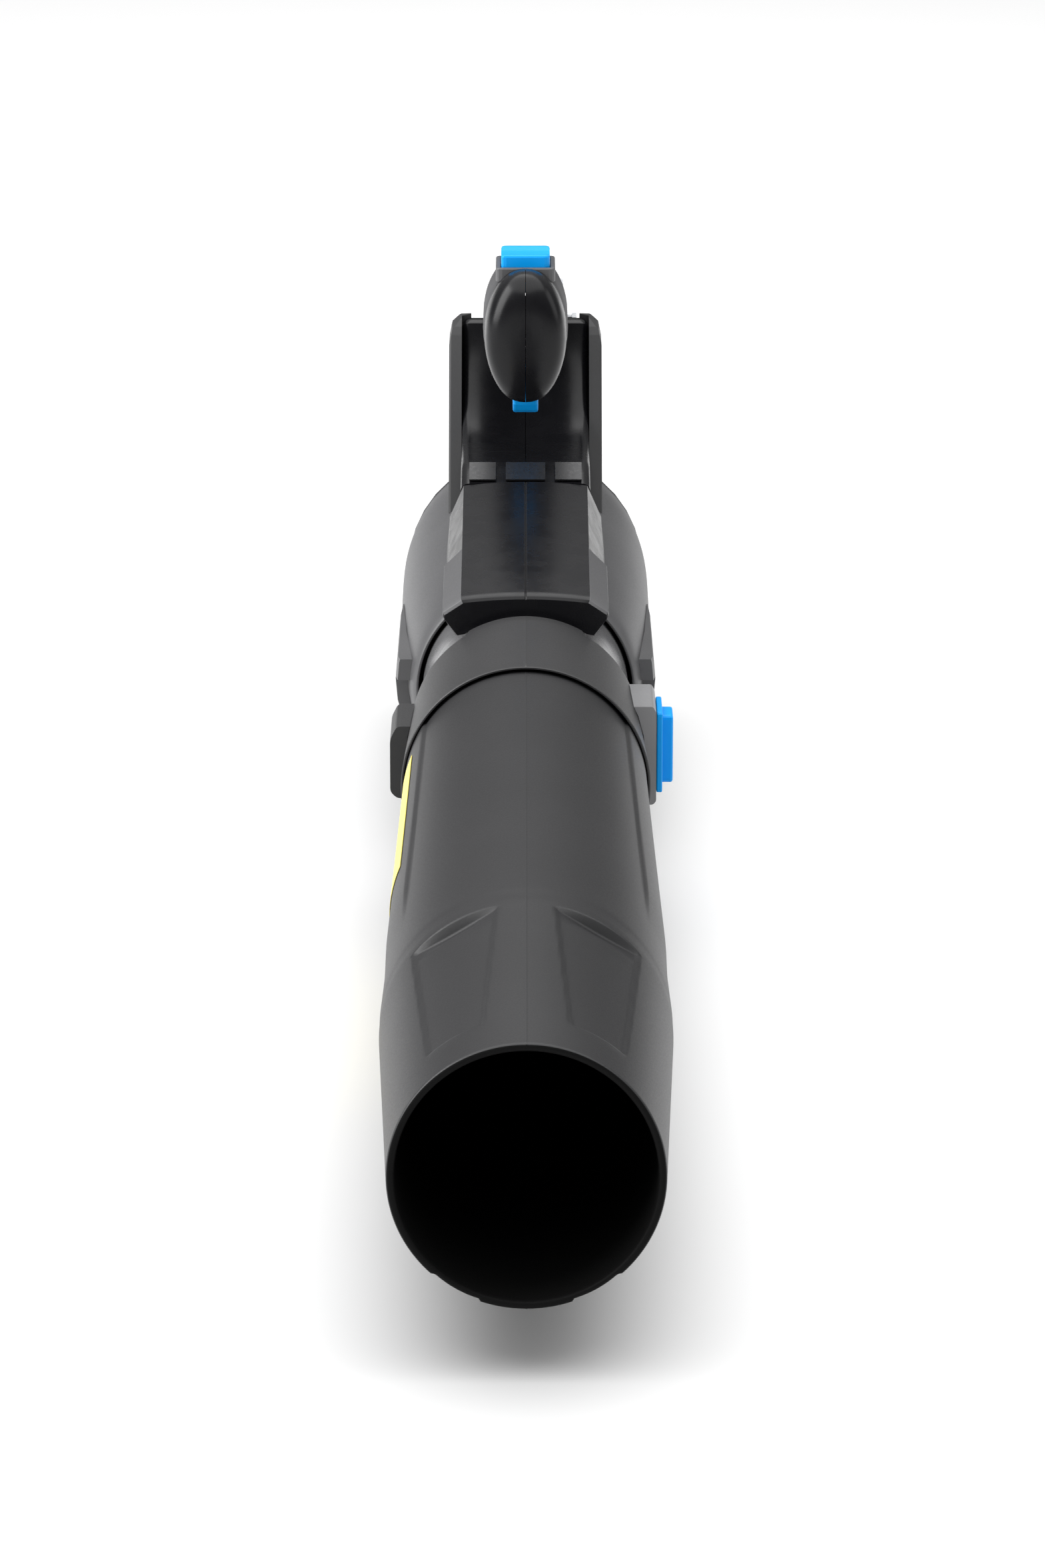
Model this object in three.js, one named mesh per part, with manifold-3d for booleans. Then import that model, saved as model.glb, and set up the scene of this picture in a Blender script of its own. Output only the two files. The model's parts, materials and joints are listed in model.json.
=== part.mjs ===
// A cordless axial leaf blower: a long tapered blowing tube that plugs into a collar, a barrel with an
// axial fan and its motor, a C-shaped handle above it, and a battery pack behind.
// Millimetres, +Z up. The air leaves towards -Y; X = 0 is the plane of symmetry.
// Inside each group, Y runs back along the air axis and Z is the height above that axis.
import * as THREE from 'three';
import { mergeVertices } from 'three/addons/utils/BufferGeometryUtils.js';
import Module from 'manifold-3d';

const wasm = await Module();
wasm.setup();

// ---------- Driving dimensions ----------

const ROUND = 36;                   // flats round a large revolved piece
const SMALL_ROUND = 16;             // and round a small one
const GAP = 0.35;                   // clearance between pieces that touch
const SEAM = 0.3;                   // gap between the left and right halves of a moulding
const AXIS_HEIGHT = 78;             // air axis above the ground
const FAR = 900;                    // larger than the object, for cuts that go right through

// Blowing tube
const MOUTH_RADIUS = 50;
const RIDGE_RADIUS = 56.2;
const RIDGE_DISTANCE = 160;         // from the mouth to the widest ring
const TUBE_REACH = 494;             // from the mouth to the collar
const TUBE_REAR_RADIUS = 51.6;
const TUBE_WALL = 3;
const SPIGOT_STEP = 3.4;            // how far the part inside the collar is stepped in
const SPIGOT_CLEARANCE = 6;         // between its end and the neck
const RAIL_HEIGHT = 1;              // raised bands along both sides of the tube
const RAIL_HALF_WIDTH = 28;
const PANEL_FRONT = 26;             // recessed panels round the nozzle
const PANEL_REAR = 148;
const PANEL_ANGLE = 31;             // from the top, in degrees
const PANEL_FRONT_HALF_WIDTH = 11.2;
const PANEL_REAR_HALF_WIDTH = 18.4;
const PANEL_SINK = 0.4;             // least depth of a panel at its long edges
const RAIL_SETBACK = 60;            // from the widest ring to the front of the rails
const RAIL_RUN = 40;                // length over which a rail rises
const STICKER_THICKNESS = 0.5;
const STICKER_SETBACK = 20;         // from the collar
const STICKER_LENGTH = 168;
const STICKER_HALF_HEIGHT = 21;

// Collar and its release latch
const COLLAR_LENGTH = 94;
const COLLAR_WALL = 3;              // over the spigot
const COLLAR_LIP_WALL = 1.35;       // over the tube's rails
const COLLAR_LIP = 9.5;             // depth of the front lip over the tube
const COLLAR_TAB_HALF_WIDTH = 26;
const COLLAR_TAB_LENGTH = 6;
const LATCH_SETBACK = 50;           // from the collar's front edge
const LATCH_LENGTH = 38;
const LATCH_HALF_HEIGHT = 22.5;
const LATCH_RISE = 3.5;             // latch housing's face above the collar's front edge
const LATCH_CHAMFER = 1.5;
const SIDE_BLOCK_RISE = 5.7;
const SIDE_BLOCK_CHAMFER = 3;
const SIDE_BLOCK_HALF_HEIGHT = 16.5;
const SIDE_BLOCK_DROP = 3;          // its middle below the air axis
const RELEASE_LENGTH = 29;
const RELEASE_HALF_HEIGHT = 18.5;
const RELEASE_CAP_LENGTH = 17;
const RELEASE_CAP_HALF_HEIGHT = 15.5;
const RELEASE_PLATE = 2.6;
const RELEASE_PROUD = 7.6;          // button's outer face above the latch housing
const RELEASE_TRAVEL = 3;
const CATCH_HALF_WIDTH = 5;
const CATCH_LENGTH = 8;
const CATCH_SETBACK = 10;           // from the front of the latch housing
const CATCH_CLEARANCE = 2;
const KEYWAY_LEAD = 6;              // tube's keyway ahead of the catch
const KEYWAY_GROOVE = 1;            // depth of the groove over it in the collar

// Neck and barrel
const NECK_LENGTH = 66;
const NECK_STEP = 1;                // below the spigot's radius
const NECK_WALL = 2.7;
const NECK_SEAT = 10;               // length inside the collar
const NECK_TAIL = 14;               // length inside the barrel
const BARREL_LENGTH = 226;
const BARREL_RADIUS = 59.6;
const MOUTH_CLEARANCE = 3.4;        // between the neck and the edge of the barrel's mouth
const BARREL_TAPER = 1.6;           // narrower at its rear end
const BARREL_WALL = 2.6;
const GUARD_RISE = 0.6;             // side guards above the barrel's widest ring
const GUARD_FRONT = 10;
const GUARD_REAR = 112;
const GUARD_TOP = 12;
const GUARD_LIFT = 25.6;            // lower edge of a guard above the bottom of the barrel
const GUARD_INSET = 20;             // inner edge of a guard inside the barrel's radius

// Fan and motor
const DUCT_MARGIN = 9.4;            // between the duct's bore and the barrel's skin
const DUCT_FRONT = 19;
const DUCT_WALL = 2.4;
const BLADE_COUNT = 9;
const VANE_COUNT = 7;
const VANE_CHORD = 34;
const FAN_HUB_RADIUS = 20;
const FAN_LENGTH = 22;
const FAN_TIP_GAP = 0.7;
const MOTOR_RADIUS = 21.5;
const MOTOR_WALL = 2.6;
const MOTOR_LENGTH = 62;
const MOTOR_SETBACK = 108;          // ahead of the barrel's rear end
const FAN_SETBACK = 5;              // behind the motor housing
const SPINNER_LENGTH = 14;
const TAIL_LENGTH = 78;
const GRILLE_RISE = 24;
const GRILLE_RIB = 2.2;
const GRILLE_RIB_COUNT = 8;
const SHAFT_RADIUS = 2.5;
const BEARING_RADIUS = 8;
const BEARING_WIDTH = 5.5;
const ROTOR_RADIUS = 9.6;

// Hood over the neck
const HOOD_SETBACK = 13;            // behind the collar
const HOOD_REACH = 86;              // behind the barrel's mouth
const HOOD_RISE = 9.3;              // front edge above the neck
const HOOD_SIDE_DROP = 5.2;         // foot of its sides below the top of the neck
const HOOD_SLOPE = 8.2;             // degrees, rising to the rear
const HOOD_TOP_HALF_WIDTH = 29;
const HOOD_HALF_WIDTH = 37.5;
const HOOD_WALL = 2.6;

// Saddle, handle and rear body
const SADDLE_RISE = 22.9;           // saddle above the top of the barrel
const SADDLE_BAND = 5.5;            // drop of the sloping band in front of the saddle
const SADDLE_BAND_LENGTH = 19;
const SADDLE_LENGTH = 119;
const FINGER_GAP = 34;
const GRIP_DEPTH = 59;
const GRIP_WIDTH = 38.6;
const SHOULDER_MARGIN = 11;         // from the rear body's side to the handle's shoulders
const BODY_WIDTH = 74;
const BODY_TOP = 17.5;              // rear body's top above the grip's underside
const CHEEK_THICKNESS = 6.5;
const CHEEK_CREST = 10;             // flat length at the top of a cheek
const CHEEK_LEAN = 48;
const BODY_SHOULDER = 13;           // rounding of the cheeks' outer top edges
const SKIRT_DROP = 18;              // rear body's lower edge below the top of the barrel
const STRIP_DEPTH = 1.5;

// Trigger and button
const TRIGGER_WIDTH = 12;
const TRIGGER_DROP = 12.5;          // below the grip's underside
const PIN_RADIUS = 2;
const PIN_HALF_LENGTH = 16;
const SPRING_WIRE = 0.35;
const SPRING_RADIUS = 2.6;
const SPRING_GAP = 0.3;
const BUTTON_WIDTH = 23;
const BUTTON_LENGTH = 26;
const BUTTON_TRAVEL = 3;
const BUTTON_PROUD = 5.5;           // above the bezel
const BEZEL_RIM = 2.5;              // beside the button
const BEZEL_BORDER = 3;             // in front of and behind it
const BEZEL_DEPTH = 7;
const SPEED_SWITCH_HEIGHT = 6.5;
const LEAD_HEIGHT = 28;             // switch lead above the grip's underside
const LEAD_ROOM = 16;
const BOARD_THICKNESS = 1.6;

// Battery
const BATTERY_LIFT = 1.6;           // above the top of the barrel
const BATTERY_HEIGHT = 44.4;
const BATTERY_LENGTH = 101;
const TONGUE_MARGIN = 6.8;          // from the battery's side to its tongue
const BAY_SETBACK = 10;             // behind the saddle
const TERMINAL_WIDTH = 43;
const TERMINAL_HEIGHT = 17;
const TONGUE_HEIGHT = 13.5;
const ROOF_THICKNESS = 6;
const BATTERY_TAIL = 27;            // battery behind the roof over its tongue
const RAIL_DEPTH = 2.6;
const RAIL_THICKNESS = 2.5;
const CELL_RADIUS = 9.2;
const CELL_MARGIN = 4.5;            // from the battery's side to the end of a cell
const SPLIT_DROP = 4.9;             // seam of the battery case below its tongue
const LATCH_PAD_HALF_WIDTH = 15;
const LATCH_PAD_LENGTH = 12;
const LATCH_PAD_SETBACK = 7;        // behind the rear body's roof
const LATCH_PAD_HEIGHT = 7;

// Foot
const FOOT_WIDTH = 76;
const FOOT_LENGTH = 204;
const FOOT_FRONT = 28;              // behind the barrel's mouth
const PAD_THICKNESS = 3;
const PAD_MARGIN = 8;
const FOOT_SCREW_INSET = 30;
const FOOT_SCREW_HALF_PITCH = 18;
const HEAD_RADIUS = 3;
const THREAD_RADIUS = 1.5;
const SCREW_REACH = 12;             // past the seam
const HEAD_SINK = 3.5;
const PLATE_WIDTH = 18.6;           // blank plates on the sloping band
const SIDE_PLATE_WIDTH = 12.5;
const SIDE_PLATE_OFFSET = 20.2;

// ---------- Places worked out from them ----------

const spigotRadius = TUBE_REAR_RADIUS - SPIGOT_STEP;
const spigotLength = COLLAR_LENGTH - NECK_SEAT - SPIGOT_CLEARANCE;
const collarLipBore = TUBE_REAR_RADIUS + RAIL_HEIGHT + GAP;
const collarFrontRadius = collarLipBore + COLLAR_LIP_WALL;
const collarRearRadius = spigotRadius + COLLAR_WALL;
const collarRear = TUBE_REACH + COLLAR_LENGTH;
const neckRadius = spigotRadius - NECK_STEP;
const neckBore = neckRadius - NECK_WALL;
const barrelFront = collarRear + NECK_LENGTH;
const barrelMouthRadius = neckRadius + MOUTH_CLEARANCE;
const barrelRearRadius = BARREL_RADIUS - BARREL_TAPER;
const ductRadius = BARREL_RADIUS - DUCT_MARGIN;
const guardFace = BARREL_RADIUS + GUARD_RISE;
const guardFoot = GUARD_LIFT - BARREL_RADIUS;
const hoodOverhang = NECK_LENGTH - HOOD_SETBACK;
const hoodFrontHeight = neckRadius + HOOD_RISE;
const saddleTop = BARREL_RADIUS + SADDLE_RISE;
const saddleWidth = BODY_WIDTH - 2 * CHEEK_THICKNESS;
const shoulderHalfWidth = BODY_WIDTH / 2 - SHOULDER_MARGIN;
const gripUnder = saddleTop + FINGER_GAP;
const gripTop = gripUnder + GRIP_DEPTH;
const saddleFront = HOOD_REACH + GAP;
const saddleRear = saddleFront + SADDLE_LENGTH;
const bayFront = saddleRear + BAY_SETBACK;
const batteryFloor = BARREL_RADIUS + BATTERY_LIFT;
const tongueTop = batteryFloor + BATTERY_HEIGHT;
const tongueFoot = tongueTop - TONGUE_HEIGHT;
const tongueHalfWidth = BODY_WIDTH / 2 - TONGUE_MARGIN;
const roofTop = tongueTop + GAP + ROOF_THICKNESS;
const roofRear = bayFront + BATTERY_LENGTH - BATTERY_TAIL;
const bodyTop = gripUnder + BODY_TOP;
const triggerPivot = { y: saddleFront + 17.5, z: gripUnder + 10.5 };
const buttonMiddle = saddleFront + 44.5;
const bezelTop = gripTop - 1.5;
const bezelWidth = BUTTON_WIDTH + 2 * BEZEL_RIM;
const boostStemFoot = gripTop - 15.5;
const boostSpringFoot = boostStemFoot - 7.7;
const speedSwitchFoot = boostSpringFoot - SPRING_GAP - SPEED_SWITCH_HEIGHT;
const leadHeight = gripUnder + LEAD_HEIGHT;
const batterySplit = tongueFoot - SPLIT_DROP;
const terminalFoot = batteryFloor + 12.5;
const railFoot = tongueFoot + 4;
const latchPadFront = roofRear + LATCH_PAD_SETBACK;
const latchPadTop = tongueFoot + 18;
const latchPadFoot = latchPadTop - LATCH_PAD_HEIGHT;
const footMiddle = FOOT_FRONT + FOOT_LENGTH / 2;

// ---------- Geometry helpers ----------

// A closed mesh as a solid whose faces point out.
function solidOf(geometry) {
  const bare = new THREE.BufferGeometry();
  bare.setAttribute('position', geometry.getAttribute('position').clone());
  if (geometry.getIndex()) bare.setIndex(geometry.getIndex().clone());
  const merged = mergeVertices(bare, 1e-4);
  const places = Float32Array.from(merged.getAttribute('position').array);
  const corner = (i) => new THREE.Vector3().fromArray(places, 3 * i);
  const index = merged.getIndex().array;
  const triangles = [];
  let volume = 0;
  for (let i = 0; i < index.length; i += 3) {
    const [a, b, c] = [index[i], index[i + 1], index[i + 2]];
    if (a === b || b === c || c === a) continue;
    triangles.push(a, b, c);
    volume += corner(a).dot(corner(b).cross(corner(c)));
  }
  if (volume < 0) triangles.reverse();
  return new wasm.Manifold(new wasm.Mesh({
    numProp: 3, vertProperties: places, triVerts: Uint32Array.from(triangles),
  }));
}

function geometryOf(solid) {
  const mesh = solid.getMesh();
  const geometry = new THREE.BufferGeometry();
  geometry.setAttribute('position', new THREE.BufferAttribute(Float32Array.from(mesh.vertProperties), 3));
  geometry.setIndex(new THREE.BufferAttribute(Uint32Array.from(mesh.triVerts), 1));
  geometry.computeVertexNormals();
  return geometry;
}

const join = (...solids) => solids.reduce((whole, one) => whole.add(one));
const cut = (body, ...tools) => tools.reduce((left, tool) => left.subtract(tool), body);

function box(x0, x1, y0, y1, z0, z1) {
  const geometry = new THREE.BoxGeometry(x1 - x0, y1 - y0, z1 - z0);
  geometry.translate((x0 + x1) / 2, (y0 + y1) / 2, (z0 + z1) / 2);
  return solidOf(geometry);
}

// A box centred on X = 0.
const slab = (width, y0, y1, z0, z1) => box(-width / 2, width / 2, y0, y1, z0, z1);

// Revolved about the air axis: a profile of [radius, y] points that closes on itself or on the axis.
function revolved(profile, segments = ROUND) {
  const onAxis = profile[0][0] === 0 && profile.at(-1)[0] === 0;
  const points = onAxis ? profile : [...profile, profile[0]];
  return solidOf(new THREE.LatheGeometry(points.map(([r, y]) => new THREE.Vector2(r, y)), segments));
}

// A cylinder along X, Y or Z between two places, centred on the other two coordinates.
function rod(axis, radius, from, to, centre = [0, 0], segments = 12) {
  const geometry = new THREE.CylinderGeometry(radius, radius, to - from, segments);
  if (axis === 'x') geometry.rotateZ(-Math.PI / 2);
  if (axis === 'z') geometry.rotateX(Math.PI / 2);
  const middle = (from + to) / 2;
  if (axis === 'x') geometry.translate(middle, centre[0], centre[1]);
  if (axis === 'y') geometry.translate(centre[0], middle, centre[1]);
  if (axis === 'z') geometry.translate(centre[0], centre[1], middle);
  return solidOf(geometry);
}

// An outline of [a, b, radius] corners, each rounded by its radius.
function rounded(corners) {
  const shape = new THREE.Shape();
  const points = corners.map(([a, b]) => new THREE.Vector2(a, b));
  corners.forEach(([, , radius = 0], i) => {
    const here = points[i];
    const before = points.at(i - 1).clone().sub(here).normalize().multiplyScalar(radius).add(here);
    const after = points[(i + 1) % points.length].clone().sub(here).normalize();
    after.multiplyScalar(radius).add(here);
    if (i === 0) shape.moveTo(before.x, before.y);
    else shape.lineTo(before.x, before.y);
    if (radius > 0) shape.quadraticCurveTo(here.x, here.y, after.x, after.y);
  });
  shape.closePath();
  return shape;
}

// An outline extruded with rounded edges, its depth centred on zero. grow moves the whole skin outwards.
function extruded(shape, depth, edge = 0, grow = 0) {
  const full = depth + 2 * grow;
  const geometry = new THREE.ExtrudeGeometry(shape, {
    depth: full - 2 * edge, curveSegments: 3, bevelEnabled: edge > 0 || grow !== 0,
    bevelThickness: edge, bevelSize: edge, bevelOffset: grow - edge, bevelSegments: edge > 0 ? 2 : 1,
  });
  return geometry.translate(0, 0, edge - full / 2);
}

// A side view, drawn in (y, z), extruded along X about x.
function fromSide(shape, width, { edge = 0, grow = 0, x = 0 } = {}) {
  const turn = new THREE.Matrix4().set(0, 0, 1, x, 1, 0, 0, 0, 0, 1, 0, 0, 0, 0, 0, 1);
  return solidOf(extruded(shape, width, edge, grow).applyMatrix4(turn));
}

// A front view, drawn in (x, z), extruded along Y between two places.
function fromFront(shape, y0, y1, { edge = 0, grow = 0 } = {}) {
  const geometry = extruded(shape, y1 - y0, edge, grow).rotateX(Math.PI / 2);
  return solidOf(geometry.translate(0, (y0 + y1) / 2, 0));
}

// A plan, drawn in (x, y), extruded along Z between two heights.
function fromAbove(shape, z0, z1, edge = 0) {
  return solidOf(extruded(shape, z1 - z0, edge).translate(0, 0, (z0 + z1) / 2));
}

const leftHalf = (solid) => solid.intersect(box(SEAM / 2, FAR, -FAR, FAR, -FAR, FAR));
const rightHalf = (solid) => solid.intersect(box(-FAR, -SEAM / 2, -FAR, FAR, -FAR, FAR));

// A coil spring along +Z from the origin.
function coil(radius, wire, length, turns) {
  const rise = length - 2 * wire;
  const path = new THREE.Curve();
  path.getPoint = (share) => new THREE.Vector3(
    radius * Math.cos(2 * Math.PI * turns * share),
    radius * Math.sin(2 * Math.PI * turns * share),
    wire + rise * share,
  );
  const section = new THREE.Shape().absellipse(0, 0, wire, wire, 0, 2 * Math.PI);
  return solidOf(new THREE.ExtrudeGeometry(section, {
    extrudePath: path, steps: Math.round(turns * 7), curveSegments: 2, bevelEnabled: false,
  }));
}

// ---------- Materials ----------

const finishes = {
  tube: { color: 0x4b4b4d, roughness: 0.72, metalness: 0 },
  matte: { color: 0x3a3a3c, roughness: 0.6, metalness: 0 },
  gloss: { color: 0x161618, roughness: 0.18, metalness: 0 },
  grey: { color: 0x5a5a5c, roughness: 0.6, metalness: 0 },
  rubber: { color: 0x202022, roughness: 0.9, metalness: 0 },
  blue: { color: 0x0293e0, roughness: 0.35, metalness: 0 },
  yellow: { color: 0xe9d75a, roughness: 0.5, metalness: 0 },
  label: { color: 0xb8b8ba, roughness: 0.4, metalness: 0 },
  steel: { color: 0xa8aab0, roughness: 0.35, metalness: 1 },
  copper: { color: 0xb06a3a, roughness: 0.4, metalness: 1 },
  board: { color: 0x1d5a34, roughness: 0.5, metalness: 0 },
};

const blower = new THREE.Group();
blower.position.set(0, -(barrelFront + footMiddle), AXIS_HEIGHT);
const head = new THREE.Group();     // everything behind the neck, measured from the barrel's mouth
head.position.y = barrelFront;
blower.add(head);

function piece(parent, name, finish, solid) {
  const mesh = new THREE.Mesh(geometryOf(solid), new THREE.MeshStandardMaterial(finishes[finish]));
  mesh.name = name;
  parent.add(mesh);
}

// ---------- Blowing tube ----------

const tubeEnd = TUBE_REACH + spigotLength;
const shoulder = TUBE_REACH + COLLAR_LIP - GAP;

// Outside radius of the tube ahead of its shoulder.
function tubeRadius(y) {
  if (y < RIDGE_DISTANCE) return MOUTH_RADIUS + (RIDGE_RADIUS - MOUTH_RADIUS) * (y / RIDGE_DISTANCE);
  const share = (y - RIDGE_DISTANCE) / (TUBE_REACH - RIDGE_DISTANCE);
  return RIDGE_RADIUS + (TUBE_REAR_RADIUS - RIDGE_RADIUS) * Math.pow(share, 0.8);
}

function tubeProfile(lift) {
  const middle = (RIDGE_DISTANCE + TUBE_REACH) / 2;
  return [0, RIDGE_DISTANCE, middle, TUBE_REACH].map((y) => [tubeRadius(y) + lift, y]);
}

// A flat wedge that is cut out of the nozzle's skin, deepest at its rear edge.
function panelCutter(angle) {
  const chordHeight = (y, half) => Math.sqrt(tubeRadius(y) ** 2 - half ** 2) - PANEL_SINK;
  const depthFront = chordHeight(PANEL_FRONT, PANEL_FRONT_HALF_WIDTH);
  const depthRear = chordHeight(PANEL_REAR, PANEL_REAR_HALF_WIDTH);
  const plan = rounded([
    [-PANEL_FRONT_HALF_WIDTH, PANEL_FRONT, 2], [PANEL_FRONT_HALF_WIDTH, PANEL_FRONT, 2],
    [PANEL_REAR_HALF_WIDTH, PANEL_REAR, 2], [-PANEL_REAR_HALF_WIDTH, PANEL_REAR, 2],
  ]);
  const wedge = extruded(plan, 20).translate(0, 0, 10);
  const places = wedge.getAttribute('position');
  for (let i = 0; i < places.count; i += 1) {
    const share = (places.getY(i) - PANEL_FRONT) / (PANEL_REAR - PANEL_FRONT);
    places.setZ(i, places.getZ(i) + depthFront + (depthRear - depthFront) * share);
  }
  return solidOf(wedge.rotateY(THREE.MathUtils.degToRad(angle)));
}

function blowerTube() {
  const outside = revolved([
    [0, 0], ...tubeProfile(0), [TUBE_REAR_RADIUS, shoulder], [spigotRadius, shoulder],
    [spigotRadius, tubeEnd], [0, tubeEnd],
  ]);
  const railFront = RIDGE_DISTANCE + RAIL_SETBACK;
  const railRise = railFront + RAIL_RUN;
  const rails = revolved([
    [0, railFront], [tubeRadius(railFront) - 0.5, railFront], [tubeRadius(railRise) + RAIL_HEIGHT, railRise],
    [TUBE_REAR_RADIUS + RAIL_HEIGHT, TUBE_REACH], [TUBE_REAR_RADIUS + RAIL_HEIGHT, shoulder], [0, shoulder],
  ]).intersect(box(-FAR, FAR, 0, FAR, -RAIL_HALF_WIDTH, RAIL_HALF_WIDTH));
  const bore = revolved([
    [0, -1], [MOUTH_RADIUS - TUBE_WALL, -1], [MOUTH_RADIUS - TUBE_WALL, 0],
    [RIDGE_RADIUS - 2 * TUBE_WALL, RIDGE_DISTANCE], [spigotRadius - TUBE_WALL, TUBE_REACH],
    [spigotRadius - TUBE_WALL, tubeEnd + 1], [0, tubeEnd + 1],
  ]);
  const keyway = box(0, FAR, catchFront - KEYWAY_LEAD, tubeEnd + 1, -catchRoom, catchRoom);
  const panels = [-180 + PANEL_ANGLE, -PANEL_ANGLE, PANEL_ANGLE, 180 - PANEL_ANGLE].map(panelCutter);
  return cut(join(outside, rails), bore, keyway, ...panels);
}

// A thin skin of the tube's own curve, standing just off its side band.
function sideSticker() {
  const near = RAIL_HEIGHT + GAP;
  const far = near + STICKER_THICKNESS;
  const at = (y, lift) => [tubeRadius(y) + lift, y];
  const rear = TUBE_REACH - STICKER_SETBACK;
  const front = rear - STICKER_LENGTH;
  const skin = revolved([
    at(front, near), at(front, far), at(rear, far), at(rear, near),
  ]);
  return skin.intersect(box(-FAR, 0, 0, FAR, -STICKER_HALF_HEIGHT, STICKER_HALF_HEIGHT));
}

// ---------- Collar, latch and neck ----------

const latchFace = collarFrontRadius + LATCH_RISE;
const latchFront = TUBE_REACH + LATCH_SETBACK;
const latchRear = latchFront + LATCH_LENGTH;
const latchMiddle = (latchFront + latchRear) / 2;
const catchFront = latchFront + CATCH_SETBACK;
const catchRoom = CATCH_HALF_WIDTH + CATCH_CLEARANCE;
const releaseFace = latchFace + RELEASE_PROUD;
const releaseBack = latchFace + 0.2;
const releaseSpringSeat = latchFace - RELEASE_TRAVEL - SPRING_GAP;
const releaseSpringPlace = latchMiddle + 6;
const collarBore = spigotRadius + GAP;

function collarRadius(y) {
  const share = (y - TUBE_REACH) / COLLAR_LENGTH;
  return collarFrontRadius + (collarRearRadius - collarFrontRadius) * share;
}

// Hole that the release button's catch moves in.
const catchHole = () => box(
  0, FAR, catchFront - CATCH_CLEARANCE, catchFront + CATCH_LENGTH + CATCH_CLEARANCE, -catchRoom, catchRoom,
);

function tubeCollar() {
  const lipEnd = TUBE_REACH + COLLAR_LIP;
  const ring = revolved([
    [collarLipBore, TUBE_REACH], [collarFrontRadius, TUBE_REACH], [collarRearRadius, collarRear],
    [collarBore, collarRear], [collarBore, lipEnd], [collarLipBore, lipEnd],
  ]);
  const tab = revolved([
    [collarBore, collarRear - 2], [collarRearRadius, collarRear - 2],
    [collarRearRadius, collarRear + COLLAR_TAB_LENGTH], [collarBore, collarRear + COLLAR_TAB_LENGTH],
  ]).intersect(box(-COLLAR_TAB_HALF_WIDTH, COLLAR_TAB_HALF_WIDTH, 0, FAR, 0, FAR));
  const groove = box(
    0, collarBore + KEYWAY_GROOVE, catchFront - KEYWAY_LEAD, collarRear - NECK_SEAT - 1,
    -catchRoom, catchRoom,
  );
  return cut(join(ring, tab), catchHole(), groove);
}

// A block on the collar's side whose inner face follows the collar.
function collarBlock(face, chamfer, foot, top) {
  const inner = spigotRadius - 8;
  const bend = 0.6 * chamfer;
  const outline = rounded([
    [inner, foot, 0], [face - chamfer, foot, bend], [face, foot + chamfer, bend],
    [face, top - 2 * chamfer, bend], [face - chamfer, top, bend], [inner, top, 0],
  ]);
  const seat = revolved([
    [0, TUBE_REACH - 1], [collarRadius(TUBE_REACH) + GAP, TUBE_REACH - 1],
    [collarRearRadius + GAP, collarRear], [0, collarRear],
  ]);
  return cut(fromFront(outline, latchFront, latchRear), seat);
}

const sideBlock = () => collarBlock(
  collarFrontRadius + SIDE_BLOCK_RISE, SIDE_BLOCK_CHAMFER,
  -SIDE_BLOCK_DROP - SIDE_BLOCK_HALF_HEIGHT, -SIDE_BLOCK_DROP + SIDE_BLOCK_HALF_HEIGHT,
).mirror([1, 0, 0]);

function latchHousing() {
  const recess = box(
    latchFace - RELEASE_TRAVEL - 0.6, FAR, latchMiddle - RELEASE_LENGTH / 2 - GAP,
    latchMiddle + RELEASE_LENGTH / 2 + GAP, -RELEASE_HALF_HEIGHT - GAP, RELEASE_HALF_HEIGHT + GAP,
  );
  const block = collarBlock(latchFace, LATCH_CHAMFER, -LATCH_HALF_HEIGHT, LATCH_HALF_HEIGHT);
  return cut(block, recess, catchHole());
}

function releaseButton() {
  const face = (halfLength, halfHeight) => rounded([
    [latchMiddle - halfLength, -halfHeight, 2], [latchMiddle + halfLength, -halfHeight, 2],
    [latchMiddle + halfLength, halfHeight, 2], [latchMiddle - halfLength, halfHeight, 2],
  ]);
  const plateFace = releaseBack + RELEASE_PLATE;
  const plate = fromSide(face(RELEASE_LENGTH / 2, RELEASE_HALF_HEIGHT), RELEASE_PLATE, {
    edge: 0.6, x: (releaseBack + plateFace) / 2,
  });
  const cap = fromSide(face(RELEASE_CAP_LENGTH / 2, RELEASE_CAP_HALF_HEIGHT), releaseFace - releaseBack, {
    edge: 1, x: (releaseBack + releaseFace) / 2,
  });
  const stem = box(
    collarBore + KEYWAY_GROOVE, releaseBack + 1, catchFront, catchFront + CATCH_LENGTH,
    -CATCH_HALF_WIDTH, CATCH_HALF_WIDTH,
  );
  const springPocket = rod(
    'x', SPRING_RADIUS + 1.2, releaseBack - 1, releaseFace - 1.8, [releaseSpringPlace, 0],
  );
  return cut(join(plate, cap, stem), springPocket);
}

function releaseSpring() {
  const length = releaseFace - 2.2 - releaseSpringSeat;
  const spring = coil(SPRING_RADIUS, SPRING_WIRE, length, 3.5).rotate([0, 90, 0]);
  return spring.translate([releaseSpringSeat, releaseSpringPlace, 0]);
}

function outletNeck() {
  const front = collarRear - NECK_SEAT;
  return revolved([
    [neckBore, front], [spigotRadius, front], [spigotRadius, collarRear - 0.5],
    [neckRadius, collarRear], [neckRadius, barrelFront + NECK_TAIL], [neckBore, barrelFront + NECK_TAIL],
  ]);
}

// ---------- Barrel ----------

// Outline of the barrel's outside, grown by a lift.
function barrelProfile(lift) {
  return [
    [barrelMouthRadius + lift, 0], [barrelMouthRadius + 3 + lift, 12],
    [BARREL_RADIUS - 2.8 + lift, 60], [BARREL_RADIUS - 0.7 + lift, 110],
    [BARREL_RADIUS + lift, BARREL_LENGTH - 71], [BARREL_RADIUS + lift, BARREL_LENGTH - 26],
    [barrelRearRadius + lift, BARREL_LENGTH],
  ];
}

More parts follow.
